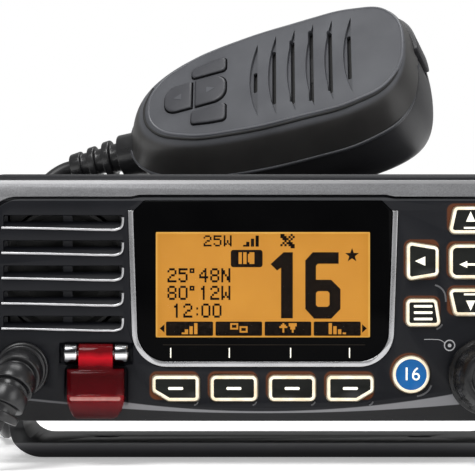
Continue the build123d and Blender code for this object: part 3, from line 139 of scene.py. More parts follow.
class Paint:
    """A material and its Principled shader; plain values are set on the shader's own sockets."""

    def __init__(self, name, **values):
        self.material = bpy.data.materials.new(name)
        self.material.use_nodes = True
        self.tree = self.material.node_tree
        self.shader = self.tree.nodes["Principled BSDF"]
        for key, value in values.items():
            socket = self.shader.inputs[key.replace("_", " ").title().replace("Ior", "IOR")]
            socket.default_value = (*value, 1) if isinstance(value, tuple) else value
        self._place = None

    def node(self, kind, settings=None, out=0, **sockets):
        """Adds a node, sets it up, fills its sockets, and returns one of its outputs."""
        node = self.tree.nodes.new("ShaderNode" + kind)
        for key, value in (settings or {}).items():
            if key == "stops":
                ramp = node.color_ramp
                while len(ramp.elements) < len(value):
                    ramp.elements.new(0.5)
                for element, (at, colour) in zip(ramp.elements, value):
                    element.position = at
                    element.color = (*colour, 1)
            else:
                setattr(node, key, value)
        for key, value in sockets.items():
            index = int(key[1:]) if key[0] == "i" and key[1:].isdigit() else key.replace("_", " ")
            self.fill(node.inputs[index], value)
        return Signal(self, node.outputs[out])

    def fill(self, socket, value):
        """Links a signal to a socket, or writes a plain value on it."""
        if isinstance(value, Signal):
            self.tree.links.new(value.socket, socket)
        elif isinstance(value, tuple) and len(value) == 3 and socket.type == "RGBA":
            socket.default_value = (*value, 1)
        else:
            socket.default_value = value

    def math(self, operation, a, b=0.0):
        return self.node("Math", {"operation": operation}, i0=a, i1=b)

    def vector(self, operation, a, b=(0, 0, 0)):
        """Maths on a vector; a length or a dot product comes out as a value."""
        out = 1 if operation in ("LENGTH", "DOT_PRODUCT") else 0
        return self.node("VectorMath", {"operation": operation}, out=out, i0=a, i1=b)

    def place(self):
        """Object coordinates: metres in the set's own axes."""
        if self._place is None:
            self._place = self.node("TexCoord", out="Object")
        return self._place

    def split(self, vector):
        """The three parts of a vector."""
        parts = self.node("SeparateXYZ", Vector=vector)
        return [Signal(self, parts.socket.node.outputs[i]) for i in range(3)]

    def level(self, low, high):
        """Height as a share: 0 at `low`, 1 at `high`, both in metres."""
        return (self.split(self.place())[2] - low) / (high - low)

    def noise(self, size, detail=2.0, rough=0.5):
        """Even noise whose blotches are about `size` metres across."""
        return self.node("TexNoise", Vector=self.place(), Scale=1.0 / size, Detail=detail, Roughness=rough)

    def ramp(self, signal, *stops):
        """Maps 0 to 1 onto colours or greys."""
        stops = [(at, c if isinstance(c, tuple) else (c, c, c)) for at, c in stops]
        return self.node("ValToRGB", {"stops": stops}, Fac=signal)

    def blotches(self, signal, dark, light):
        """Two tones that run into each other as the signal does."""
        return self.ramp(signal, (0.3, dark), (0.7, light))

    def step(self, signal, low, high):
        """0 below `low`, 1 above `high`, smooth between."""
        return self.node(
            "MapRange", {"interpolation_type": "SMOOTHSTEP"}, Value=signal, From_Min=low, From_Max=high
        )

    def mix(self, share, a, b):
        """Colour a where share is 0, b where it is 1."""
        return self.node("Mix", {"data_type": "RGBA"}, out=2, i0=share, i6=a, i7=b)

    def bump(self, height, depth, strength):
        """A dent or grain of `depth` metres."""
        return self.node("Bump", Height=height, Distance=depth, Strength=strength)

    def feed(self, **links):
        """Connects patterns to the shader."""
        for key, value in links.items():
            self.fill(self.shader.inputs[key.replace("_", " ")], value)
        return self.material


# %% [markdown]
# ## Moulded plastic
# Injection-moulded housings aren't one flat colour. Their tool was spark-eroded, which
# leaves a fine even grain, and handling polishes some places and dulls others. So the grain
# is a bump of a few hundredths of a millimetre, and slow noise shifts the gloss and the tone.


# %% Moulded plastic
def moulded_skin(paint, gloss, grain=0.00035, depth=0.00002):
    """Slow noise for the tone, and the roughness and bump that a spark-eroded tool leaves."""
    slow = paint.noise(0.014, detail=3.0)
    fine = paint.noise(grain)
    return slow, {
        "Roughness": slow * 0.16 + fine * 0.08 + (gloss - 0.12),
        "Normal": paint.bump(fine, depth, 0.6),
    }


def moulded(name, colour, gloss, shine=0.4, **tool):
    """Moulded plastic; `tool` may give another grain size and depth."""
    paint = Paint(name, roughness=gloss, specular_ior_level=shine)
    slow, skin = moulded_skin(paint, gloss, **tool)
    dark = tuple(c * 0.88 for c in colour)
    light = tuple(c * 1.12 for c in colour)
    return paint.feed(Base_Color=paint.blotches(slow, dark, light), **skin)


dial_black = moulded("dial_black", (0.0060, 0.0062, 0.0070), gloss=0.26, shine=0.3)
mic_black = moulded("mic_black", (0.019, 0.019, 0.021), gloss=0.40)
inner_black = moulded("inner_black", (0.008, 0.008, 0.009), gloss=0.6)
print("plastics for the dial, the microphone and the inside")

# %% [markdown]
# ## Rubber, metal and paint
# Rubber scatters light at a glance and picks up a grey bloom. Bright metal is only as good
# as what it reflects, so it gets a soft fine brushing instead of a mirror. The silver band
# is paint: flakes of metal under a satin coat.


# %% Rubber
def rubbery(name, colour, gloss=0.55, bloom=0.25, shine=0.35):
    paint = Paint(name, roughness=gloss, specular_ior_level=shine)
    slow = paint.noise(0.006, detail=4.0, rough=0.6)
    fine = paint.noise(0.0004)
    pale = tuple(c + (0.12 - c) * bloom * 0.4 for c in colour)
    return paint.feed(
        Base_Color=paint.ramp(slow, (0.42, colour), (0.8, pale)),
        Roughness=slow * 0.25 + (gloss - 0.1),
        Normal=paint.bump(fine, 0.00002, 0.5),
    )


boot_rubber = rubbery("boot_rubber", (0.007, 0.007, 0.008), gloss=0.28, bloom=0.15, shine=0.5)
cord_rubber = rubbery("cord_rubber", (0.010, 0.010, 0.011), gloss=0.36)
pad_rubber = rubbery("pad_rubber", (0.015, 0.015, 0.015), gloss=0.6)
print("rubbers for boots, cord and pads")


# %% Metals
BRUSH = (0.0002, 0.004, 0.0002)  # fine lines that run from front to back


def metal(name, colour, gloss, worn=0.08):
    paint = Paint(name, metallic=1.0, roughness=gloss)
    stretched = paint.vector("DIVIDE", paint.place(), BRUSH)
    lines = paint.node("TexNoise", Vector=stretched, Scale=1.0, Detail=3.0)
    slow = paint.noise(0.008, detail=3.0)
    dull = tuple(c * 0.86 for c in colour)
    return paint.feed(
        Base_Color=paint.ramp(slow, (0.35, dull), (0.65, colour)),
        Roughness=lines * worn + slow * worn + (gloss - worn),
        Normal=paint.bump(lines, 0.000004, 0.35),
    )


plated = metal("plated", (0.78, 0.77, 0.74), 0.18)
# a bright metal that stands for the painted highlight on the louvre lips
painted_lip_highlight = metal("painted_lip_highlight", (0.50, 0.50, 0.51), 0.32)
steel = metal("steel", (0.56, 0.56, 0.56), 0.34)
bezel_silver = metal("bezel_silver", (0.44, 0.44, 0.45), 0.28, worn=0.06)
print("four metals")


# %% Paints on metal
def painted(name, colour, gloss=0.35, flake=0.0, peel=0.00001, metallic=0.0, rim=None):
    """Paint on metal; above the height `rim` a painted highlight stands for light on its rounded top edge."""
    paint = Paint(name, roughness=gloss, metallic=metallic)
    flakes = paint.node("TexVoronoi", Vector=paint.place(), Scale=1 / 0.00022, out=1)
    sparkle = paint.split(flakes)[0] * flake + (1.0 - flake * 0.5)
    tone = paint.noise(0.02, detail=3.0) * 0.12 + 0.94
    skin = paint.noise(0.0011, detail=1.0)
    base = paint.mix(sparkle * tone * 0.5, (0.0, 0.0, 0.0), tuple(2 * c for c in colour))
    if rim is not None:
        # a painted highlight along the band's top edge
        bright = paint.step(paint.split(paint.place())[2], rim - 0.1 * MM, rim + 0.1 * MM)
        base = paint.mix(bright, base, (0.24, 0.24, 0.245))
    return paint.feed(
        Base_Color=base,
        Roughness=paint.noise(0.009) * 0.14 + (gloss - 0.07),
        Normal=paint.bump(skin, peel, 0.6),
    )


band_silver = painted(
    "band_silver", (0.165, 0.166, 0.172), gloss=0.36, flake=0.35, metallic=0.35, rim=PANEL_FOOT + 63.9 * MM
)
case_black = painted("case_black", (0.020, 0.020, 0.022), gloss=0.5, flake=0.1, peel=0.00003)
print("paints for the band and the case")


# %% Small prints and tints
def two_tone(name, size, dark, light, **values):
    """A simple finish in two tones, with blotches of one size."""
    paint = Paint(name, **values)
    return paint.feed(Base_Color=paint.blotches(paint.noise(size), dark, light))


DISPLAY_INK = (0.004, 0.002, 0.001), (0.008, 0.004, 0.002)
display_dark = two_tone("display_dark", 0.002, *DISPLAY_INK, roughness=0.7, specular_ior_level=0.1)
BROWN_INK = (0.009, 0.007, 0.005), (0.013, 0.009, 0.006)
brown_print = two_tone("brown_print", 0.003, *BROWN_INK, roughness=0.6, specular_ior_level=0.1)
BUTTON_REDS = (0.36, 0.006, 0.010), (0.50, 0.010, 0.014)
button_red = two_tone("button_red", 0.002, *BUTTON_REDS, roughness=0.3, coat_weight=0.3)
# the ridge's pale red: the cover's own red with a painted highlight
RIDGE_HIGHLIGHT_REDS = (0.30, 0.10, 0.09), (0.42, 0.16, 0.14)
ridge_highlight_red = two_tone("ridge_highlight_red", 0.002, *RIDGE_HIGHLIGHT_REDS, roughness=0.18, coat_weight=0.5)
print("two inks and two reds")

# %% [markdown]
# ## The panel's black
# The panel is one black moulding, and three things show on it by their place. The lit rims
# of the keys spill a painted brown glow up and to the left of each key. The chin has a fold
# that curves up to both sides, with a painted highlight along it, and below it the chin is a
# little lighter than the face. The distance to a key's box is worked out in the shader, one
# short chain for each key.

# %% Panel black with key glow and chin
PANEL_KEYS = ["key_enter", "key_up", "key_down", "key_left", "key_right", "key_menu", "key_clear"]
SOFT_KEYS = ["soft_key_1", "soft_key_2", "soft_key_3", "soft_key_4"]
ALL_KEYS = PANEL_KEYS + SOFT_KEYS + ["key_round"]
FLANGE = 0.9 * MM  # each key's box holds a flange this wide behind the panel
KEY_CORNER, ROUND_KEY_CORNER = 1.5 * MM, 4.9 * MM
DEEP = 20 * MM  # how far before and behind a key the glow shows
paint = Paint("panel_black", roughness=0.4, specular_ior_level=0.16)
across, _, up = paint.split(paint.place())
glow = None
for name in ALL_KEYS:
    low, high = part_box(name)
    shift = Vector((-0.35, 0, 0.75 if name in SOFT_KEYS else 0.45)) * MM
    corner = ROUND_KEY_CORNER if name == "key_round" else KEY_CORNER
    trim = corner + FLANGE
    half = ((high.x - low.x) / 2 - trim, DEEP, (high.z - low.z) / 2 - trim)
    away = paint.vector("SUBTRACT", paint.place(), tuple((low + high) / 2 + shift))
    away = paint.vector("SUBTRACT", paint.vector("ABSOLUTE", away), half)
    away = paint.vector("LENGTH", paint.vector("MAXIMUM", away))
    near = 1.0 - paint.step(away, corner + 0.25 * MM, corner + 0.65 * MM)
    glow = near if glow is None else paint.math("MAXIMUM", glow, near)
bow = across * across
rise = up - PANEL_FOOT
over_fold = rise - bow * 0.85
below_fold = 1.0 - paint.step(over_fold, 2.15 * MM, 2.35 * MM)
below_top = 1.0 - paint.step(rise - bow * 1.8, 2.6 * MM, 2.9 * MM)
fold = below_top * (1.0 - below_fold)
ledge = paint.step(rise, 59.2 * MM, 59.4 * MM) * (1.0 - paint.step(rise, 60.0 * MM, 60.2 * MM))
slow, skin = moulded_skin(paint, gloss=0.40)
tone = paint.blotches(slow, (0.0046, 0.0050, 0.0068), (0.0062, 0.0067, 0.0090))
tone = paint.mix(below_fold, tone, (0.014, 0.014, 0.0150))
# left of the guarded button the fold turns from the light, all but its lower edge
lit_side = paint.step(across, -52 * MM, -38 * MM)
lower_edge = fold * (1.0 - paint.step(over_fold, 2.7 * MM, 3.0 * MM))
fold_light = paint.math("MAXIMUM", lit_side, lower_edge * 0.55)
# the fold's painted highlight
tone = paint.mix(fold * fold_light, tone, (0.200, 0.200, 0.210))
tone = paint.mix(ledge, tone, (0.036, 0.037, 0.040))
# the painted glow of the keys' backlight on the panel
tone = paint.mix(glow, tone, (0.085, 0.024, 0.007))
panel_black = paint.feed(Base_Color=tone, **skin)
print("panel black with", len(ALL_KEYS), "glows")

# %% Inner materials
board_green = painted("board_green", (0.012, 0.10, 0.035), gloss=0.32, peel=0.00002)
silicone_grey = rubbery("silicone_grey", (0.30, 0.30, 0.28), gloss=0.5, bloom=0.1)
cone_black = moulded("cone_black", (0.012, 0.012, 0.012), gloss=0.75, grain=0.0009, depth=0.00006)
print("board, key mat and speaker cone")

# %% [markdown]
# ## The cord
# The hand microphone's cord is one length of soft round cable: a short plain lead out of the
# panel's boot, a tightly coiled stretch, and a plain lead up to the microphone. Its middle
# line is one smooth spline through given points. The coils are the same wire wound
# round that line, so the wire's own path is worked out from the spline's points.

# %% Route of the cord
BOOT_TIP = (-0.0695, -0.0675, 0.0134)
MIC_BOOT_TIP = (-0.05807, 0.04445, 0.08288)
REST = 0.0064  # height of the coil's middle line
CORD_ROUTE = [
    # out of the boot and down to the table
    BOOT_TIP, (-0.0717, -0.0682, 0.0079), (-0.0810, -0.0710, REST),
    # round beside the set in a wide bow
    (-0.0950, -0.0710, REST), (-0.1110, -0.0710, REST), (-0.1290, -0.0600, REST), (-0.1430, -0.0380, REST),
    (-0.1480, -0.0150, REST), (-0.1470, 0.0090, REST), (-0.1420, 0.0320, REST), (-0.1290, 0.0590, REST),
    (-0.1110, 0.0720, REST), (-0.0950, 0.0720, REST),
    # back beside the case
    (-0.0865, 0.0700, 0.0050), (-0.0800, 0.0560, 0.0028), (-0.0768, 0.0360, 0.0028),
    # and up to the microphone's boot
    (-0.0764, 0.0225, 0.0062), (-0.0764, 0.0205, 0.0200), (-0.0764, 0.0260, 0.0400),
    (-0.0745, 0.0330, 0.0640), (-0.06473, 0.04609, 0.08151), MIC_BOOT_TIP,
]


def only(piece):
    """Selects one piece alone and makes it the active one."""
    bpy.ops.object.select_all(action="DESELECT")
    piece.select_set(True)
    bpy.context.view_layer.objects.active = piece


def curve(name, kind, points, closed=False, **settings):
    """A curve that follows some points; its kind is POLY, NURBS or BEZIER."""
    data = bpy.data.curves.new(name, "CURVE")
    data.dimensions = "3D"
    for key, value in settings.items():
        setattr(data, key, value)
    spline = data.splines.new(kind)
    if kind == "BEZIER":
        spline.bezier_points.add(len(points) - 1)
        for knot, place in zip(spline.bezier_points, points):
            knot.co = place
            knot.handle_left_type = knot.handle_right_type = "AUTO"
    else:
        spline.points.add(len(points) - 1)
        for point, place in zip(spline.points, points):
            point.co = (*place, 1)
        spline.order_u = 3
        spline.use_endpoint_u = True
    spline.use_cyclic_u = closed
    piece = bpy.data.objects.new(name, data)
    scene.collection.objects.link(piece)
    return piece


def smooth_mesh(line):
    """Turns a curve into a smoothly shaded mesh."""
    only(line)
    bpy.ops.object.convert(target="MESH")
    bpy.ops.object.shade_smooth()
    return line


route = smooth_mesh(curve("cord_route", "NURBS", CORD_ROUTE, resolution_u=24))
middle_line = [v.co.copy() for v in route.data.vertices]
bpy.data.objects.remove(route)
print("middle line", len(middle_line), "points")


# %% Winding the coils round the route
WIRE = 0.0044
COIL_OUTSIDE = 0.0126
COIL_PITCH = WIRE * 1.1
COIL_PLANE = -0.0955  # the coils lie to the left of this plane
EASE = 0.016  # the first and last turns grow out of the plain wire over this length
GAP = 0.3 * MM  # the route's own points stop this far from the coil's ends
STEPS_PER_TURN = 22


def lengths_along(points):
    """Distance from the first point to each point."""
    total, out = 0.0, [0.0]
    for a, b in zip(points, points[1:]):
        total += (b - a).length
        out.append(total)
    return out


def eased(share):
    """0 below 0, 1 above 1, smooth between."""
    share = max(0.0, min(1.0, share))
    return share * share * (3 - 2 * share)


def wound(points):
    """The wire's path: plain where the route is right of the coil plane, wound to its left."""
    along = lengths_along(points)
    inside = [i for i, p in enumerate(points) if p.x < COIL_PLANE]
    first, last = along[inside[0]], along[inside[-1]]
    turns = round((last - first) / COIL_PITCH)
    radius = (COIL_OUTSIDE - WIRE) / 2
    up = Vector((0, 0, 1))
    path = [p for p, s in zip(points, along) if s < first - GAP]
    steps = turns * STEPS_PER_TURN
    k, angle = 0, 0.0
    for j in range(steps + 1):
        s = first + (last - first) * j / steps
        while along[k + 1] < s and k < len(along) - 2:
            k += 1
        share = (s - along[k]) / max(1e-9, along[k + 1] - along[k])
        heading = (points[k + 1] - points[k]).normalized()
        side = heading.cross(up).normalized()
        lift = side.cross(heading)
        # the wire swings out first and only then turns fast, so that it is nowhere kinked
        reach = min(s - first, last - s) / EASE
        angle += 2 * math.pi / STEPS_PER_TURN * eased((reach - 0.4) / 0.8)
        offset = (side * math.cos(angle) + lift * math.sin(angle)) * radius * eased(reach)
        path.append(points[k].lerp(points[k + 1], share) + offset)
    path += [p for p, s in zip(points, along) if s > last + GAP]
    print("coil of", round(angle / (2 * math.pi), 1), "turns over", round((last - first) / MM), "mm")
    return path


wire_path = wound(middle_line)
print("wire", round(lengths_along(wire_path)[-1], 3), "m")

# %% [markdown]
# The wire is made as two meshes: a long one out of the panel's boot and through the coil,
# and a short one up to the microphone. The wire is made as two meshes, because one mesh
# can bend across one joint only. They meet beside the case.


# %% Two lengths of wire
def dress(piece, *finishes):
    """Gives a piece these materials and no others."""
    piece.data.materials.clear()
    for finish in finishes:
        piece.data.materials.append(finish)


def tube(name, points):
    """A length of the cord's wire along a path."""
    line = curve(name, "POLY", points, bevel_depth=WIRE / 2, bevel_resolution=3, use_fill_caps=True)
    piece = smooth_mesh(line)
    dress(piece, cord_rubber)
    return piece


JOIN_HEIGHT = 0.036
join_at = max(i for i, p in enumerate(wire_path) if p.z < JOIN_HEIGHT) + 1
lower_path, upper_path = wire_path[: join_at + 1], wire_path[join_at:]
coiled_cord = tube("coiled_cord", lower_path)
mic_lead = tube("mic_lead", list(reversed(upper_path)))
for piece, path, start in ((coiled_cord, lower_path, BOOT_TIP), (mic_lead, upper_path, MIC_BOOT_TIP)):
    lengths_along(path)[-1]
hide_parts("cord_panel_lead", "cord_curl")
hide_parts("cord_mic_lead")
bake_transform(coiled_cord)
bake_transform(mic_lead)
print("cord", round(lengths_along(lower_path)[-1], 3), "m and", round(lengths_along(upper_path)[-1], 3), "m")

# %% [markdown]
# ## Soft edges
# No moulded, cast or turned piece has a perfectly sharp edge: the tool's own radius leaves a
# thin bright line along each one, and that line is what makes a piece look made. A packed
# solid's mesh is loose triangles, so a copy is merged and its flat faces are cleared of
# needless lines. Then every edge that turns sharply is rounded by a small bevel.


# %% A softened copy of a solid
MERGE = 0.003 * MM  # corners of loose triangles this close to each other are one corner
FLAT = math.radians(0.6)  # lines between faces that differ by less than this are needless
BEHIND_ALL = 1.0  # a plane behind the whole set


def copied(source, name, move=Matrix()):
    """A copy of a piece with its own mesh, moved by a matrix."""
    piece = bpy.data.objects.new(name, source.data.copy())
    piece.data.transform(move)
    scene.collection.objects.link(piece)
    return piece


def pick_faces(piece, wanted):
    """Selects the faces that pass a test, in edit mode."""
    bpy.ops.object.mode_set(mode="EDIT")
    bpy.ops.mesh.select_all(action="DESELECT")
    bpy.ops.object.mode_set(mode="OBJECT")
    for face in piece.data.polygons:
        face.select = wanted(face)
    bpy.ops.object.mode_set(mode="EDIT")


def merged_copy(node, clear_to=None):
    """A solid's copy as one mesh without needless lines, or without those in front of `clear_to`."""
    piece = copied(frame["nodes"][node], node + "_finished")
    only(piece)
    bpy.ops.object.mode_set(mode="EDIT")
    bpy.ops.mesh.select_all(action="SELECT")
    bpy.ops.mesh.remove_doubles(threshold=MERGE)
    if clear_to is not None:
        pick_faces(piece, lambda face: face.center.y < clear_to)
    bpy.ops.mesh.dissolve_limited(angle_limit=FLAT)
    bpy.ops.object.mode_set(mode="OBJECT")
    return piece


def bevelled(piece, width, sharp, clamp=False, outer_corners="MITER_SHARP"):
    """Rounds the edges that turn by more than `sharp` degrees; the width is in millimetres."""
    only(piece)
    bevel = piece.modifiers.new("bevel", "BEVEL")
    bevel.width = width * MM
    bevel.segments = 2
    bevel.limit_method = "ANGLE"
    bevel.angle_limit = math.radians(sharp)
    bevel.use_clamp_overlap = clamp
    bevel.miter_outer = outer_corners
    bpy.ops.object.modifier_apply(modifier=bevel.name)


def settle(piece, finish, node, body=None):
    """Gives a piece its finish, and the body of the solid that it belongs to."""
    dress(piece, finish)
    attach(piece, body or frame["nodes"][node]["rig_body"])
    return piece


def softened(node, finish, edge, sharp=32, clear_to=BEHIND_ALL):
    """A copy of a solid with edges rounded by `edge` millimetres, which stands for it."""
    piece = merged_copy(node, clear_to)
    bevelled(piece, edge, sharp, outer_corners="MITER_ARC")
    bpy.ops.object.shade_smooth_by_angle(angle=math.radians(sharp + 8))
    settle(piece, finish, node)
    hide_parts(node)
    past = max(max(v.co[i] for v in piece.data.vertices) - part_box(node)[1][i] for i in range(3))
    print(node, len(piece.data.polygons), "faces, past its solid by", round(max(0, past) / MM, 3), "mm")
    return piece


# %% Outer pieces with soft edges
SOFT_EDGES = [
    (band_silver, 0.25, ["top_band"]),
    (bezel_silver, 0.12, ["window_bezel"]),
    (case_black, 0.35, ["chassis", "chassis_lid"]),
    (plated, 0.15, ["antenna_socket", "hanger_stud"]),
    (boot_rubber, 0.3, ["panel_boot", "mic_boot", "tilt_knob_left", "tilt_knob_right"]),
    (dial_black, 0.3, ["dial_knob"]),
]
for finish, edge, names in SOFT_EDGES:
    for name in names:
        softened(name, finish, edge)
# the panel's inner walls hold many holes, so only its outer faces are cleared
softened("front_panel", panel_black, 0.22, clear_to=FACE + 1.5 * MM)

# %% [markdown]
# ## The bracket's painted shade
# The bracket is bent sheet under powder coat. On its foot a ramp by height paints shade that
# deepens towards the lower edge, and a painted highlight along the upper one.
# Only the sheet's true edges are rounded, not the lines along its bends.

# %% Powder-coated bracket
SHEET_THICKNESS = 4.1 * MM
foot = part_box("mounting_bracket")[0].z
paint = Paint("bracket_grey", roughness=0.42, specular_ior_level=0.25)
# painted shade and highlight on the foot: dark at its lower edge, bright along its upper one
painted_shade_height = paint.level(foot, foot + SHEET_THICKNESS)
coat_grain = paint.noise(0.0005)
bracket_grey = paint.feed(
    Base_Color=paint.ramp(
        painted_shade_height + paint.noise(0.014, detail=3.0) * 0.04 - 0.02,
        (0.22, (0.003, 0.003, 0.004)),
        (0.45, (0.018, 0.018, 0.021)),
        (0.70, (0.056, 0.056, 0.061)),
        (0.88, (0.105, 0.106, 0.111)),
        (0.96, (0.150, 0.151, 0.156)),
        (1.03, (0.060, 0.061, 0.064)),
    ),
    Roughness=coat_grain * 0.08 + 0.38,
    Normal=paint.bump(coat_grain, 0.00003, 0.6),
)
softened("mounting_bracket", bracket_grey, 0.3, sharp=50)

# %% [markdown]
# ## Marks and small flat pieces
# Printed or lit marks are thin plates that stand a hair proud of what carries them. Each
# starts as a filled circle whose corners are set on the mark's outline, and is extruded.
# Bars, arrows and rings are outlines that small functions work out, in any unit.


# %% Flat plates
MARK_THICK = 0.08 * MM


def plate(name, outline, front, thick=MARK_THICK):
    """A thin plate that faces -Y; its outline is a list of (x, z) in metres."""
    bpy.ops.object.select_all(action="DESELECT")
    bpy.ops.mesh.primitive_circle_add(vertices=len(outline), fill_type="NGON")
    piece = bpy.context.object
    piece.name = name
    for vertex, (x, z) in zip(piece.data.vertices, outline):
        vertex.co = (x, front, z)
    bpy.ops.object.mode_set(mode="EDIT")
    bpy.ops.mesh.select_all(action="SELECT")
    bpy.ops.mesh.extrude_region_move(TRANSFORM_OT_translate={"value": (0, thick, 0)})
    bpy.ops.mesh.select_all(action="SELECT")
    bpy.ops.mesh.normals_make_consistent(inside=False)
    bpy.ops.object.mode_set(mode="OBJECT")
    return piece


def bar(x, z, wide, high, corner=0.0, steps=4):
    """Outline of a bar with rounded corners, by its middle."""
    if not corner:
        return [(x + a * wide / 2, z + b * high / 2) for a, b in ((-1, -1), (1, -1), (1, 1), (-1, 1))]
    points = []
    for quarter, (a, b) in enumerate(((1, 1), (-1, 1), (-1, -1), (1, -1))):
        hub_x, hub_z = x + a * (wide / 2 - corner), z + b * (high / 2 - corner)
        for i in range(steps + 1):
            turn = math.pi / 2 * (quarter + i / steps)
            points.append((hub_x + corner * math.cos(turn), hub_z + corner * math.sin(turn)))
    return points


def arrow(x, z, size, turn):
    """Outline of a triangle that points right at turn 0 and up at turn 90."""
    corners = []
    for angle, far in ((0, 1.0), (130, 0.95), (230, 0.95)):
        a = math.radians(angle + turn)
        corners.append((x + size / 2 * far * math.cos(a), z + size / 2 * far * math.sin(a)))
    return corners


def ring(x, z, radius, count):
    """Places round a circle."""
    turns = [math.tau * i / count for i in range(count)]
    return [(x + radius * math.cos(turn), z + radius * math.sin(turn)) for turn in turns]


def rod(name, points, radius, closed=True):
    """A round rod that runs smoothly through some points; its radius is in millimetres."""
    line = curve(name, "BEZIER", points, closed, bevel_depth=radius * MM, bevel_resolution=2, resolution_u=14)
    return smooth_mesh(line)


def joined(name, parts):
    """Joins small pieces to one."""
    only(parts[0])
    for part in parts:
        part.select_set(True)
    if len(parts) > 1:
        bpy.ops.object.join()
    parts[0].name = name
    return parts[0]


# %% [markdown]
# ## Keys
# Each key is one soft moulding with a pale, lit rim round a dark face. The rim is made from
# the key's own front face: it is inset by the rim's width, and the inner part sinks a little
# and takes the dark finish. A few keys carry a dash or an arrow.

# %% Key finishes
paint = Paint("rim_cream", roughness=0.45, emission_strength=0.16, specular_ior_level=0.3)
rim_tone = paint.blotches(paint.noise(0.003), (0.80, 0.66, 0.46), (0.94, 0.87, 0.72))
rim_cream = paint.feed(Base_Color=rim_tone, Emission_Color=rim_tone)
key_dark = rubbery("key_dark", (0.0065, 0.0072, 0.0062), gloss=0.42, bloom=0.06, shine=0.12)
key_blue = rubbery("key_blue", (0.010, 0.112, 0.34), gloss=0.36, bloom=0.02, shine=0.10)
paint = Paint("mark_cream", roughness=0.5, emission_strength=0.45)
mark_tone = paint.ramp(paint.noise(0.001), (0.2, (0.78, 0.74, 0.60)), (0.8, (0.92, 0.90, 0.80)))
mark_cream = paint.feed(Base_Color=mark_tone, Emission_Color=mark_tone)
KEY_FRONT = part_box("key_enter")[0].y
print("keys stand", round((FACE - KEY_FRONT) / MM, 2), "mm proud")

# %% Rimmed keys
KEY_EDGE = 0.18  # rounding of a key's edges, in millimetres
RIM = 0.36  # width of the pale rim, in millimetres
ROUND_KEY_RIM = 0.31  # the round key has a narrower one
SINK = 0.22  # how far the dark face sinks, in millimetres


def rimmed_key(node, face_finish, rim=RIM):
    """A key with a pale rim round a sunk face, which stands for its solid."""
    piece = merged_copy(node)
    dress(piece, rim_cream, face_finish)
    bevelled(piece, KEY_EDGE, sharp=35)
    front = min(v.co.y for v in piece.data.vertices)
    pick_faces(piece, lambda face: face.normal.y < -0.99 and abs(face.center.y - front) < 0.02 * MM)
    bpy.ops.mesh.inset(thickness=(rim - KEY_EDGE) * MM, depth=0)
    bpy.ops.mesh.remove_doubles(threshold=0.2 * MM)
    piece.active_material_index = 1
    bpy.ops.mesh.inset(thickness=0.1 * MM, depth=-SINK * MM)
    bpy.ops.object.material_slot_assign()
    bpy.ops.object.mode_set(mode="OBJECT")
    bpy.ops.object.shade_smooth_by_angle(angle=math.radians(40))
    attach(piece, frame["nodes"][node]["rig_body"])
    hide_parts(node)


for name in PANEL_KEYS + SOFT_KEYS:
    rimmed_key(name, key_dark)
rimmed_key("key_round", key_blue, ROUND_KEY_RIM)
print(len(ALL_KEYS), "keys")


# %% Marks on the keys
def middle(node):
    low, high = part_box(node)
    return (low.x + high.x) / 2, (low.z + high.z) / 2


def key_marks(node, outlines):
    """Pale marks on a key's sunk face, in millimetres from its middle."""
    x, z = middle(node)
    front = KEY_FRONT + (SINK - 0.03) * MM
    marks = [plate("mark", [(x + a * MM, z + b * MM) for a, b in outline], front) for outline in outlines]
    settle(joined(node + "_mark", marks), mark_cream, node)


MARKS = {name: [bar(0, 0, 4.0, 0.75, 0.3)] for name in SOFT_KEYS}
MARKS["key_left"] = [arrow(-0.4, 0, 3.4, 180)]
MARKS["key_right"] = [arrow(0.4, 0, 3.4, 0)]
MARKS["key_up"] = [arrow(0, 0.6, 3.4, 90), bar(0, -2.1, 3.6, 0.5)]
MARKS["key_down"] = [arrow(0, -0.6, 3.4, 270), bar(0, 2.1, 3.6, 0.5)]
MARKS["key_menu"] = [bar(0, height, 5.0, 0.65, 0.2) for height in (-1.7, 0, 1.7)]
MARKS["key_clear"] = [arrow(-1.2, 0, 2.8, 180), bar(1.0, 0, 2.8, 0.7)]
MARKS["key_enter"] = [arrow(-1.7, -0.8, 2.6, 180), bar(0.7, -0.8, 3.2, 0.6), bar(2.2, 0.4, 0.6, 3.0)]
for node, outlines in MARKS.items():
    key_marks(node, outlines)
print("marks on", len(MARKS), "keys")


# %% The channel number on the round key
DIGIT_SHARE = 1 / 1.38  # a digit's height as a share of the text's size


def number(name, text, x, z, high, front):
    """A number as a thin plate that faces -Y, by its middle, in metres."""
    bpy.ops.object.select_all(action="DESELECT")
    bpy.ops.object.text_add()
    piece = bpy.context.object
    piece.name = name
    piece.data.body = text
    piece.data.align_x = "CENTER"
    piece.data.align_y = "CENTER"
    piece.data.size = high / DIGIT_SHARE
    piece.data.extrude = MARK_THICK / 2
    only(piece)
    bpy.ops.object.convert(target="MESH")
    piece.data.transform(Matrix.Translation((x, front, z)) @ Matrix.Rotation(math.pi / 2, 4, "X"))
    return piece


channel = number("key_round_mark", "16", *middle("key_round"), 3.6 * MM, KEY_FRONT + (SINK - 0.04) * MM)
settle(channel, mark_cream, "key_round")
print("number on the round key")

# %% [markdown]
# ## Louvre lips, dial mark and small arcs of painted highlight
# Each louvre ends below in a rounded lip that turns up at its right end. It catches the
# light all along, so that light is painted on as a bright metal bead of its own, a painted
# highlight. One lip is made and copied down the panel.

# %% Louvre lips
FOOT_ROW = 422.0  # the panel's foot in the view, in pixels
LIP = [
    (1.5, 227.8), (30, 228.3), (70, 229.1), (108, 229.9),
    (116.5, 229.6), (121.2, 227.2), (122.6, 223), (122.9, 217.5),
]
LOUVRES = 5
LOUVRE_PITCH = 25.25 / PIXELS_PER_MM * MM


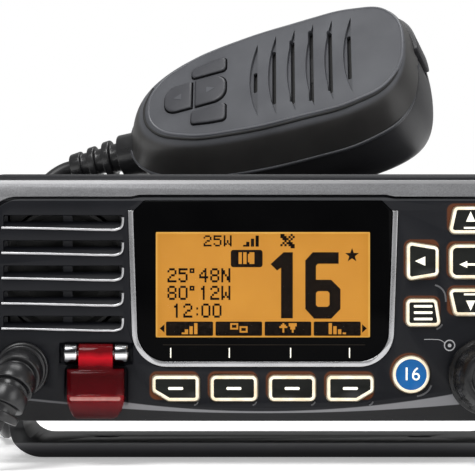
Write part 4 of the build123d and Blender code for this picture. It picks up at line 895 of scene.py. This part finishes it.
def seen(px, py):
    """A place on the panel's face in metres, from a pixel of the camera's view."""
    return (px - AXIS_AT[0]) / PIXELS_PER_MM * MM, PANEL_FOOT + (FOOT_ROW - py) / PIXELS_PER_MM * MM


def bead(name, spots, radius, finish, proud=0.0, closed=False):
    """A bead on the panel's face through places in the view."""
    places = [seen(*spot) for spot in spots]
    points = [Vector((x, FACE - proud * MM, z)) for x, z in places]
    return settle(rod(name, points, radius, closed), finish, "front_panel")


first_lip = bead("louvre_lip_1", LIP, 0.38, painted_lip_highlight)
for k in range(1, LOUVRES):
    lip = copied(first_lip, f"louvre_lip_{k + 1}", Matrix.Translation((0, 0, -LOUVRE_PITCH * k)))
    settle(lip, painted_lip_highlight, "front_panel")
print(LOUVRES, "louvre lips")

# %% Dial mark and arcs of painted highlight
DIAL_MARK = (449.6, 345.6)
LEADER = [(424, 339.6), (434, 339.6), (440, 340.2), (445, 343.2)]
ARCS = [
    [(435, 285), (440, 287.5), (444.5, 293), (446, 302)],
    [(417, 396.4), (423, 394.6), (428, 391), (431.5, 385.5)],
    [(436.5, 329.5), (440, 327.4), (442.5, 324.5)],
]
KEY_ARCS_AT = (196.5, 255.0, 313.5, 371.5)
mark_grey = moulded("mark_grey", (0.36, 0.36, 0.37), gloss=0.4)
# grey beads along the raised edges round the keys stand for painted highlights
painted_arc_highlight = moulded("painted_arc_highlight", (0.075, 0.076, 0.082), gloss=0.35)
bead("dial_mark_ring", ring(*DIAL_MARK, 5.1, 12), 0.17, mark_grey, closed=True)
dot = plate("dial_mark_dot", ring(*seen(*DIAL_MARK), 0.5 * MM, 16), FACE - 0.06 * MM)
settle(dot, mark_grey, "front_panel")
bead("dial_mark_leader", LEADER, 0.09, mark_grey)
for k, spots in enumerate(ARCS):
    bead(f"panel_arc_{k + 1}", spots, 0.30, painted_arc_highlight, proud=-0.12)
for k, px in enumerate(KEY_ARCS_AT):
    spots = [(px - 2.4, 405.4), (px, 404.2), (px + 1.6, 401.8)]
    bead(f"key_foot_arc_{k + 1}", spots, 0.22, painted_arc_highlight, proud=-0.08)
print("dial mark and", len(ARCS) + len(KEY_ARCS_AT), "arcs")

# %% [markdown]
# ## The lit display
# Behind the window is a dot display with an amber light. It is lit from behind, so its
# colour is given off, not reflected. A faint grid of cells and a paler edge are in its
# shader, while every dark sign on it is a thin plate. The small digits are built from one
# cell that is copied for each dot, as the display itself builds them.

# %% Amber field
SCREEN_X = (-28.85 * MM, 28.80 * MM)
SCREEN_Z = (PANEL_FOOT + 22.38 * MM, PANEL_FOOT + 50.95 * MM)
CELL = 0.42 * MM
CELL_PIXELS = 1.57  # the same cell in the view
SIGN_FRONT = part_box("display_module")[0].y - 0.10 * MM


def into_screen(paint):
    """How far a place lies inside the lit field, negative outside it."""
    x, _, z = paint.split(paint.place())
    spans = (x, SCREEN_X), (z, SCREEN_Z)
    return paint.math("MINIMUM", *(paint.math("MINIMUM", at - low, high - at) for at, (low, high) in spans))


paint = Paint("display_amber", roughness=0.6, emission_strength=0.91, specular_ior_level=0.2)
x, _, z = paint.split(paint.place())
depth_in = into_screen(paint)
inside = paint.step(depth_in, 0.0, 0.08 * MM)
edge_glow = 1.0 - paint.step(depth_in, 0.2 * MM, 0.8 * MM)
cells = paint.math("FRACT", x / CELL) * (1.0 - paint.math("FRACT", z / CELL))
grid = paint.step(cells, 0.0, 0.12) * 0.06 + 0.94
amber = paint.ramp(
    paint.noise(0.012) * 0.5 + edge_glow * 0.5,
    (0.2, (0.60, 0.255, 0.030)),
    (0.45, (0.67, 0.295, 0.036)),
    (0.8, (0.86, 0.47, 0.10)),
)
display_amber = paint.feed(
    Base_Color=paint.mix(inside, (0.004, 0.004, 0.004), (0.10, 0.045, 0.006)),
    Emission_Color=paint.mix(grid * inside, (0.0, 0.0, 0.0), amber),
)
dress(frame["nodes"]["display_module"], display_amber)
print("screen", [round((b - a) / MM, 2) for a, b in (SCREEN_X, SCREEN_Z)], "mm")

# %% Large signs
SIGN_THICK = 0.05 * MM
LABELS = [(165.7, 212.9), (215.4, 262.1), (264.7, 311.4), (313.9, 361.0)]  # left and right edges
STAR_AT = (352.3, 255.5)
STAR_TIP, STAR_NOTCH = 7.4, 3.0


def sign(*spots):
    """A dark sign on the display, from its corners in the view."""
    return plate("sign", [seen(*spot) for spot in spots], SIGN_FRONT, SIGN_THICK)


def box_sign(left, top, right, bottom, corner):
    """A dark box with round corners, from its edges in the view."""
    x0, z0 = seen(left, bottom)
    x1, z1 = seen(right, top)
    outline = bar((x0 + x1) / 2, (z0 + z1) / 2, x1 - x0, z1 - z0, corner * MM, 3)
    return plate("sign", outline, SIGN_FRONT, SIGN_THICK)


def star():
    spots = []
    for i in range(10):
        far, turn = STAR_NOTCH if i % 2 else STAR_TIP, math.pi * i / 5
        spots.append((STAR_AT[0] + far * math.sin(turn), STAR_AT[1] - far * math.cos(turn)))
    return sign(*spots)


large = [
    # the big 1, then the left, the bar and the right of the big 6
    sign(
        (283.6, 252.4), (292.9, 252.4), (292.9, 318.6), (281.1, 318.6), (281.1, 267.9), (277.1, 270.7),
        (270.7, 264.3),
    ),
    sign(
        (312.9, 252.4), (323, 252.4), (323, 263.9), (318, 263.9), (316.1, 266), (316.1, 280), (323, 280),
        (323, 291.4), (318, 291.4), (316.1, 293.3), (316.1, 305.2), (318, 307.1), (323, 307.1), (323, 319),
        (314.3, 319), (305.4, 309.3), (305.4, 260.7),
    ),
    sign((323, 252.4), (338.9, 252.4), (338.9, 263.9), (323, 263.9)),
    sign(
        (323, 280), (331.4, 280), (340.7, 289.3), (340.7, 309.3), (331.4, 319), (323, 319), (323, 307.1),
        (327.8, 307.1), (329.7, 305.2), (329.7, 293.3), (327.8, 291.4), (323, 291.4),
    ),
    star(),
    box_sign(230.7, 250, 262.6, 267.4, 0.7),
]
large += [box_sign(left, 321.9, right, 336.2, 0.35) for left, right in LABELS]
large += [sign((tip, 328.8), (back, 324.6), (back, 333.0)) for tip, back in ((159.4, 164.2), (367.2, 362.4))]
print(len(large), "large signs")

# %% Small digits and signs from cells
GLYPHS = {
    "0": "01110 10001 10001 10001 10001 10001 01110",
    "1": "00100 01100 00100 00100 00100 00100 00100",
    "2": "01110 10001 00001 00110 01000 10000 11111",
    "4": "00010 00110 01010 10010 11111 00010 00010",
    "5": "11111 10000 11110 00001 00001 10001 01110",
    "8": "01110 10001 10001 01110 10001 10001 01110",
    "N": "10001 11001 11001 10101 10011 10011 10001",
    "W": "10001 10001 10001 10101 10101 11011 10001",
    "o": "111 101 111 000 000 000 000",
    ":": "0 0 1 0 0 1 0",
    "satellite": "1100010 1110101 0111010 0010100 0101110 1010111 0000011",
    "rising": "0000000011 0000000011 0000011011 0000011011 0011011011 0011011011 1111011011",
    "pair": "11111000000 10001000000 10001011111 11111010001 00000010001 00000011111 00000000000",
    "updown": "00100011111 01110011111 11111001110 00100001110 00100000100 00100000100 00000000000",
    "steps": "11000000000 11000000000 11011000000 11011000000 11011011000 11011011000 11011011011",
    "pause": "1101100111 1101101111 1101101111 1101101111 1101101111 1101101111 1101100111",
}
SPACING = {"o": (0.0, 1.0, 1.0, 9.6), ":": (2.0, 1.25, 1.0, 7.0)}  # shift, height, width and advance
DIGIT_SPACING = (0.0, 1.28, 1.14, 11.1)
LIT_FRONT = SIGN_FRONT - 0.04 * MM
cell = plate("cell", bar(CELL * 0.55, CELL * 0.55, CELL * 1.1, CELL * 1.1), 0, 0.03 * MM)


def dots(word, px, py, front, tall=1.0, wide=1.0):
    """Copies of the cell in a sign's pattern, from its upper left corner in the view."""
    made = []
    left, top = seen(px, py)
    for r, row in enumerate(GLYPHS[word].split()):
        for c, dot in enumerate(row):
            if dot == "1":
                place = Matrix.Translation((left + c * CELL * wide, front, top - (r + 1) * CELL * tall))
                made.append(copied(cell, "dot", place @ Matrix.Diagonal((wide, 1, tall, 1))))
    return made


small = []
for text, px, py in (("25o48N", 167.2, 268.6), ("80o12W", 167.2, 286.2), ("12:00", 172.0, 304.0)):
    for letter in text:
        shift, tall, wide, advance = SPACING.get(letter, DIGIT_SPACING)
        small += dots(letter, px + shift, py, SIGN_FRONT, tall, wide)
        px += advance
for word, px, py in (("2", 203.4, 235.6), ("5", 213.4, 235.6), ("W", 223.6, 235.6), ("rising", 243, 235.8)):
    small += dots(word, px, py, SIGN_FRONT)
small += dots("satellite", 280.4, 234.2, SIGN_FRONT, tall=1.3, wide=1.3)
settle(joined("display_signs", large + small), display_dark, "display_module")
bright = dots("pause", 238.5, 252.6, LIT_FRONT, tall=1.05)
for word, (left, right) in zip(("rising", "pair", "updown", "steps"), LABELS):
    wide = len(GLYPHS[word].split()[0]) * CELL_PIXELS
    bright += dots(word, (left + right - wide) / 2, 323.6, LIT_FRONT)
settle(joined("display_lit_signs", bright), display_amber, "display_module")
bpy.data.objects.remove(cell)
print(len(small) + len(bright), "cells")

# %% [markdown]
# ## The window
# The window is one clear moulding, printed black round its edge on the back. A mask on its
# place lets the lit field through. Its front is polished, so it stays darker than the matt
# panel round it.

# %% Window, its ticks and its lower line
TICKS_AT = (170.7, 229.3, 290.6, 349.5)
PRINT_FRONT = FACE - 0.02 * MM
PRINT_THICK = 0.04 * MM
BACK_LAYER = 0.4 * MM  # this thick a layer of the window's back
DRAWN_IN = 0.25 * MM  # is drawn in this far
paint = Paint("window_gloss", roughness=0.07, specular_ior_level=0.02)
clear = paint.step(into_screen(paint), -0.05 * MM, 0.05 * MM)
window_gloss = paint.feed(
    Base_Color=paint.blotches(paint.noise(0.02), (0.0012, 0.0012, 0.0014), (0.002, 0.002, 0.0022)),
    Roughness=paint.noise(0.004) * 0.04 + 0.05,
    Alpha=1.0 - clear * 0.97,
)
window = softened("window_lens", window_gloss, edge=0.3)
# its back is drawn in a little, so that it stands clear of the display
back = max(v.co.y for v in window.data.vertices)
for vertex in window.data.vertices:
    if vertex.co.y > back - BACK_LAYER:
        vertex.co.y -= DRAWN_IN
tick_bars = [bar(*seen(px, 353.0), 0.28 * MM, 2.7 * MM, 0.1 * MM, 2) for px in TICKS_AT]
ticks = [plate("tick", outline, PRINT_FRONT, PRINT_THICK) for outline in tick_bars]
settle(joined("window_ticks", ticks), mark_cream, "window_lens")
x0, z0 = seen(163, 345)
x1, _ = seen(365, 345)
line = plate("window_line", bar((x0 + x1) / 2, z0, x1 - x0, 0.22 * MM), PRINT_FRONT, PRINT_THICK)
settle(line, brown_print, "window_lens")
print("window with", len(ticks), "ticks")

# %% [markdown]
# ## The guarded button's cover
# The cover is clear red plastic. Where it is thick or steep the red gets deep, and its
# lower lip and its barrel catch the light: a ramp by height paints both, the light as painted
# highlights. Another one paints two bright bands of painted reflection on the plated ends
# that its barrel turns between.

# %% Red cover
low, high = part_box("distress_cover")
paint = Paint("cover_red", roughness=0.10, specular_ior_level=0.12, coat_weight=0.06, coat_roughness=0.05)
level = paint.level(low.z, high.z)
# painted highlights on the lower lip and on the barrel, at two heights
cover_red = paint.feed(
    Base_Color=paint.ramp(
        level + paint.noise(0.003) * 0.06,
        (0.00, (0.030, 0.001, 0.002)),
        (0.10, (0.050, 0.001, 0.003)),
        (0.24, (0.130, 0.002, 0.005)),
        (0.33, (0.240, 0.006, 0.010)),
        (0.37, (0.070, 0.001, 0.003)),
        (0.60, (0.045, 0.001, 0.002)),
        (0.72, (0.080, 0.001, 0.003)),
        (0.84, (0.480, 0.006, 0.014)),
        (0.93, (0.110, 0.002, 0.004)),
    ),
    Alpha=paint.step(level, 0.70, 0.76) * 0.10 + 0.86,
    Roughness=paint.noise(0.002) * 0.08 + 0.06,
)
softened("distress_cover", cover_red, edge=0.3)
dress(frame["nodes"]["distress_button"], button_red)
ridge_bar = bar((low.x + high.x) / 2, seen(0, 398)[1], 13.6 * MM, 1.1 * MM, 0.5 * MM)
ridge = plate("cover_ridge", ridge_bar, low.y, 1.2 * MM)
bevelled(ridge, 0.25, sharp=30, clamp=True)
bpy.ops.object.shade_smooth_by_angle(angle=math.radians(40))
settle(ridge, ridge_highlight_red, "distress_cover")
print("cover", [round(v / MM, 1) for v in high - low], "mm")

# %% Plated ends of the cover's barrel
low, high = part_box("cover_bosses")
paint = Paint("boss_plate", metallic=1.0, roughness=0.2)
# painted reflections: bright bands of the lamps, dark ones between
boss_plate = paint.feed(
    Base_Color=paint.ramp(
        paint.level(low.z, high.z) + paint.noise(0.002) * 0.10,
        (0.10, (0.010, 0.011, 0.014)),
        (0.24, (0.090, 0.090, 0.098)),
        (0.40, (0.640, 0.640, 0.645)),
        (0.54, (0.800, 0.800, 0.805)),
        (0.66, (0.035, 0.037, 0.040)),
        (0.78, (0.060, 0.062, 0.066)),
        (0.88, (0.600, 0.605, 0.610)),
        (1.00, (0.080, 0.080, 0.085)),
    ),
    Roughness=paint.noise(0.001) * 0.1 + 0.14,
)
softened("cover_bosses", boss_plate, edge=0.15)

# %% [markdown]
# ## The hand microphone
# The microphone has its own axes: along it, across it, and out of its face. Its front shell
# has a fine grain, a grey face, and a smoother shoulder that is painted darker, as shade. A
# thin lip runs round the face and a bead covers the joint of the shells. Both are round rods
# that follow the outline, sunk half into it.

# %% Microphone axes and outline
MIC_AT = Vector((0.0056, 0.0127, 0.1095))
ALONG = Vector((0.932, -0.278, 0.233)).normalized()
OUT = Vector((-0.363, -0.714, 0.599))
OUT = (OUT - ALONG * OUT.dot(ALONG)).normalized()
ACROSS = OUT.cross(ALONG)
FACE_HALF = 18.8
TAIL, HEAD = 42.6, 37.0
TAIL_GROWS, HEAD_GROWS = 1.6, 0.15  # the shells widen more at the tail than at the head
HALF_OUTLINE = [(-0.94, 0.43), (-0.72, 0.76), (-0.36, 0.94), (0.15, 1.0), (0.6, 0.97), (0.88, 0.74)]
HEAD_END = len(HALF_OUTLINE) + 1  # the outline's points from here on run along its lower side


def mic_edge(grow, h):
    """The microphone's outline at height h over its face, grown from the face's edge, in millimetres."""
    upper = []
    for along, across in HALF_OUTLINE:
        away = math.hypot(along, across)
        a = along * (TAIL if along < 0 else HEAD)
        a += grow * (TAIL_GROWS if along < 0 else HEAD_GROWS) * along / away
        upper.append((a, across * FACE_HALF + grow * across / away))
    tail_end, head_end = (-TAIL - TAIL_GROWS * grow, 0), (HEAD + HEAD_GROWS * grow, 0)
    points = [tail_end, *upper, head_end, *((a, -b) for a, b in reversed(upper))]
    return [MIC_AT + (ALONG * a + ACROSS * b + OUT * h) * MM for a, b in points]


def over_mic(paint):
    """Height over the microphone's face, for a shader."""
    return paint.vector("DOT_PRODUCT", paint.place(), tuple(OUT)) - MIC_AT.dot(OUT)


print("microphone across", [round(v, 3) for v in ACROSS])

# %% Microphone finishes
paint = Paint("mic_shell", roughness=0.42, specular_ior_level=0.4)
on_face = paint.step(over_mic(paint), -2.7 * MM, -1.3 * MM)
slow = paint.noise(0.012, detail=3.0)
face_tone = paint.blotches(slow, (0.060, 0.062, 0.070), (0.078, 0.081, 0.090))
# the shoulder's painted shade
shoulder_painted_shade = paint.blotches(slow, (0.021, 0.0202, 0.0198), (0.034, 0.0325, 0.0315))
mic_shell = paint.feed(
    Base_Color=paint.mix(on_face, shoulder_painted_shade, face_tone),
    Roughness=slow * 0.14 + on_face * 0.08 + 0.28,
    Normal=paint.bump(paint.noise(0.0004), 0.00003, 0.6),
)
dress(frame["nodes"]["mic_front_shell"], mic_shell)
# the keys' walls are painted dark below their tops, as shade
paint = Paint("mic_key_rubber", roughness=0.42, specular_ior_level=0.35)
rubbed = paint.noise(0.006, detail=4.0)
mic_key_rubber = paint.feed(
    Base_Color=paint.mix(
        paint.step(over_mic(paint), 0.4 * MM, 0.7 * MM),
        (0.005, 0.005, 0.006),
        paint.blotches(rubbed, (0.042, 0.043, 0.049), (0.052, 0.053, 0.060)),
    ),
    Roughness=rubbed * 0.2 + 0.32,
)
for name in ("mic_key_top", "mic_key_plus", "mic_key_minus", "mic_key_bottom"):
    softened(name, mic_key_rubber, edge=0.35)
softened("mic_back_shell", mic_black, edge=0.3)
softened("ptt_key", mic_black, edge=0.4)
lip_grey = moulded("lip_grey", (0.085, 0.088, 0.098), gloss=0.34)
seam_grey = moulded("seam_grey", (0.045, 0.047, 0.053), gloss=0.30)
print("microphone finishes set")

# %% Lip, bead and key arrows
settle(rod("mic_face_lip", mic_edge(-0.05, -0.28), 0.47), lip_grey, "mic_front_shell")
# a black rod under the lip is a painted shadow line, on the lower side only
under_lip = mic_edge(0.95, -0.55)
painted_shadow_line = rod("mic_face_painted_shadow", under_lip[HEAD_END:] + under_lip[:2], 0.4, closed=False)
settle(painted_shadow_line, cone_black, "mic_front_shell")
# the talk key takes up the upper right of the joint, so the bead stops at its two ends
joint = mic_edge(6.5, -11.6)
joint_bead = rod("mic_joint_bead", joint[HEAD_END:] + joint[:3], 0.5, closed=False)
settle(joint_bead, seam_grey, "mic_front_shell")


def mic_mark(name, outline, h, finish, node, body=None):
    """A thin plate on the microphone; the outline is (along, across) in millimetres."""
    mark = plate(name, [(a * MM, b * MM) for a, b in outline], 0, 0.1 * MM)
    turn = Matrix((ALONG, -OUT, ACROSS)).transposed().to_4x4()
    mark.data.transform(Matrix.Translation(MIC_AT + OUT * h * MM) @ turn)
    settle(mark, finish, node, body)


for node, a, turn in (("mic_key_plus", -22.6, 0), ("mic_key_minus", -32.6, 180)):
    mic_mark(node + "_arrow", arrow(a, 0.6, 3.2, turn), 0.95, lip_grey, node)
mic_mark("mic_felt", bar(8.5, 0, 44, 30, 3.0), -2.5, cone_black, "mic_key_top", body="microphone")
print("lip, bead, arrows and felt on the microphone")

# %% [markdown]
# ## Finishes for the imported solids
# Each solid whose shape is already right keeps its mesh and gets its finish here. The inner
# pieces get theirs too, because a cut-away or an opened set shows them.

# %% Finish by node
FINISH = {
    panel_black: ["dial_encoder"],
    case_black: ["back_plate", "rear_glands"],
    plated: ["dial_shaft", "board_link"],
    steel: ["case_screws", "tilt_screw_left", "tilt_screw_right", "cover_pin", "mic_screws"],
    pad_rubber: ["friction_pads", "panel_gasket"],
    board_green: ["main_board", "mic_board"],
    silicone_grey: ["keypad_mat"],
    inner_black: ["front_board", "power_module", "dial_rotor", "mic_capsule"],
    cone_black: ["speaker"],
}
for finish, names in FINISH.items():
    for name in names:
        dress(frame["nodes"][name], finish)
print(sum(len(names) for names in FINISH.values()), "of", len(frame["nodes"]), "solids finished here")

# %% [markdown]
# ## Floor and light
# A plain pale sweep and three broad soft lamps, as on a product table. The world is white
# where the camera sees it, also through clear pieces, and a plain grey as light and in
# reflections, so the floor takes the set's shadow and black pieces stay black.

# %% Floor and world
bpy.ops.object.select_all(action="DESELECT")
bpy.ops.mesh.primitive_plane_add(size=8, location=(0, 0, -0.0002))
floor = bpy.context.object
floor.name = "floor"
paper = Paint("paper", roughness=0.9, emission_strength=0.36, emission_color=(1.0, 1.0, 1.0))
dress(floor, paper.feed(Base_Color=paper.ramp(paper.noise(0.5), (0.0, 0.88), (1.0, 0.93))))


class Sky(Paint):
    """The world, painted with the same methods as a material."""

    def __init__(self, name):
        world = bpy.data.worlds.new(name)
        world.use_nodes = True
        self.tree = world.node_tree
        self.tree.nodes.remove(self.tree.nodes["Background"])
        scene.world = world


sky = Sky("studio")
seen_ray = sky.node("LightPath", out="Is Camera Ray")
clear_ray = sky.node("LightPath", out="Is Transmission Ray")
grey_light = sky.node("Background", Color=(1, 1, 1), Strength=0.42)
white = sky.node("Background", Color=(1, 1, 1), Strength=1.0)
shown = sky.node("MixShader", i0=sky.math("MAXIMUM", seen_ray, clear_ray), i1=grey_light, i2=white)
sky.fill(sky.tree.nodes["World Output"].inputs["Surface"], shown)
print("floor and world")


# %% Lamps
HEART = Vector((0, 0, 0.06))  # the middle of the set


def softbox(name, place, size, power):
    """A square lamp that looks at the set."""
    bpy.ops.object.light_add(type="AREA", location=place)
    lamp = bpy.context.object
    lamp.name = name
    lamp.data.size = size
    lamp.data.energy = power
    lamp.rotation_euler = (HEART - Vector(place)).to_track_quat("-Z", "Y").to_euler()


softbox("key_lamp", (-0.35, -0.55, 0.95), 0.5, 7.5)
softbox("fill_lamp", (0.75, -0.75, 0.45), 0.6, 3.2)
softbox("top_lamp", (0.1, 0.25, 1.0), 0.6, 5.0)
print("lamps lit")
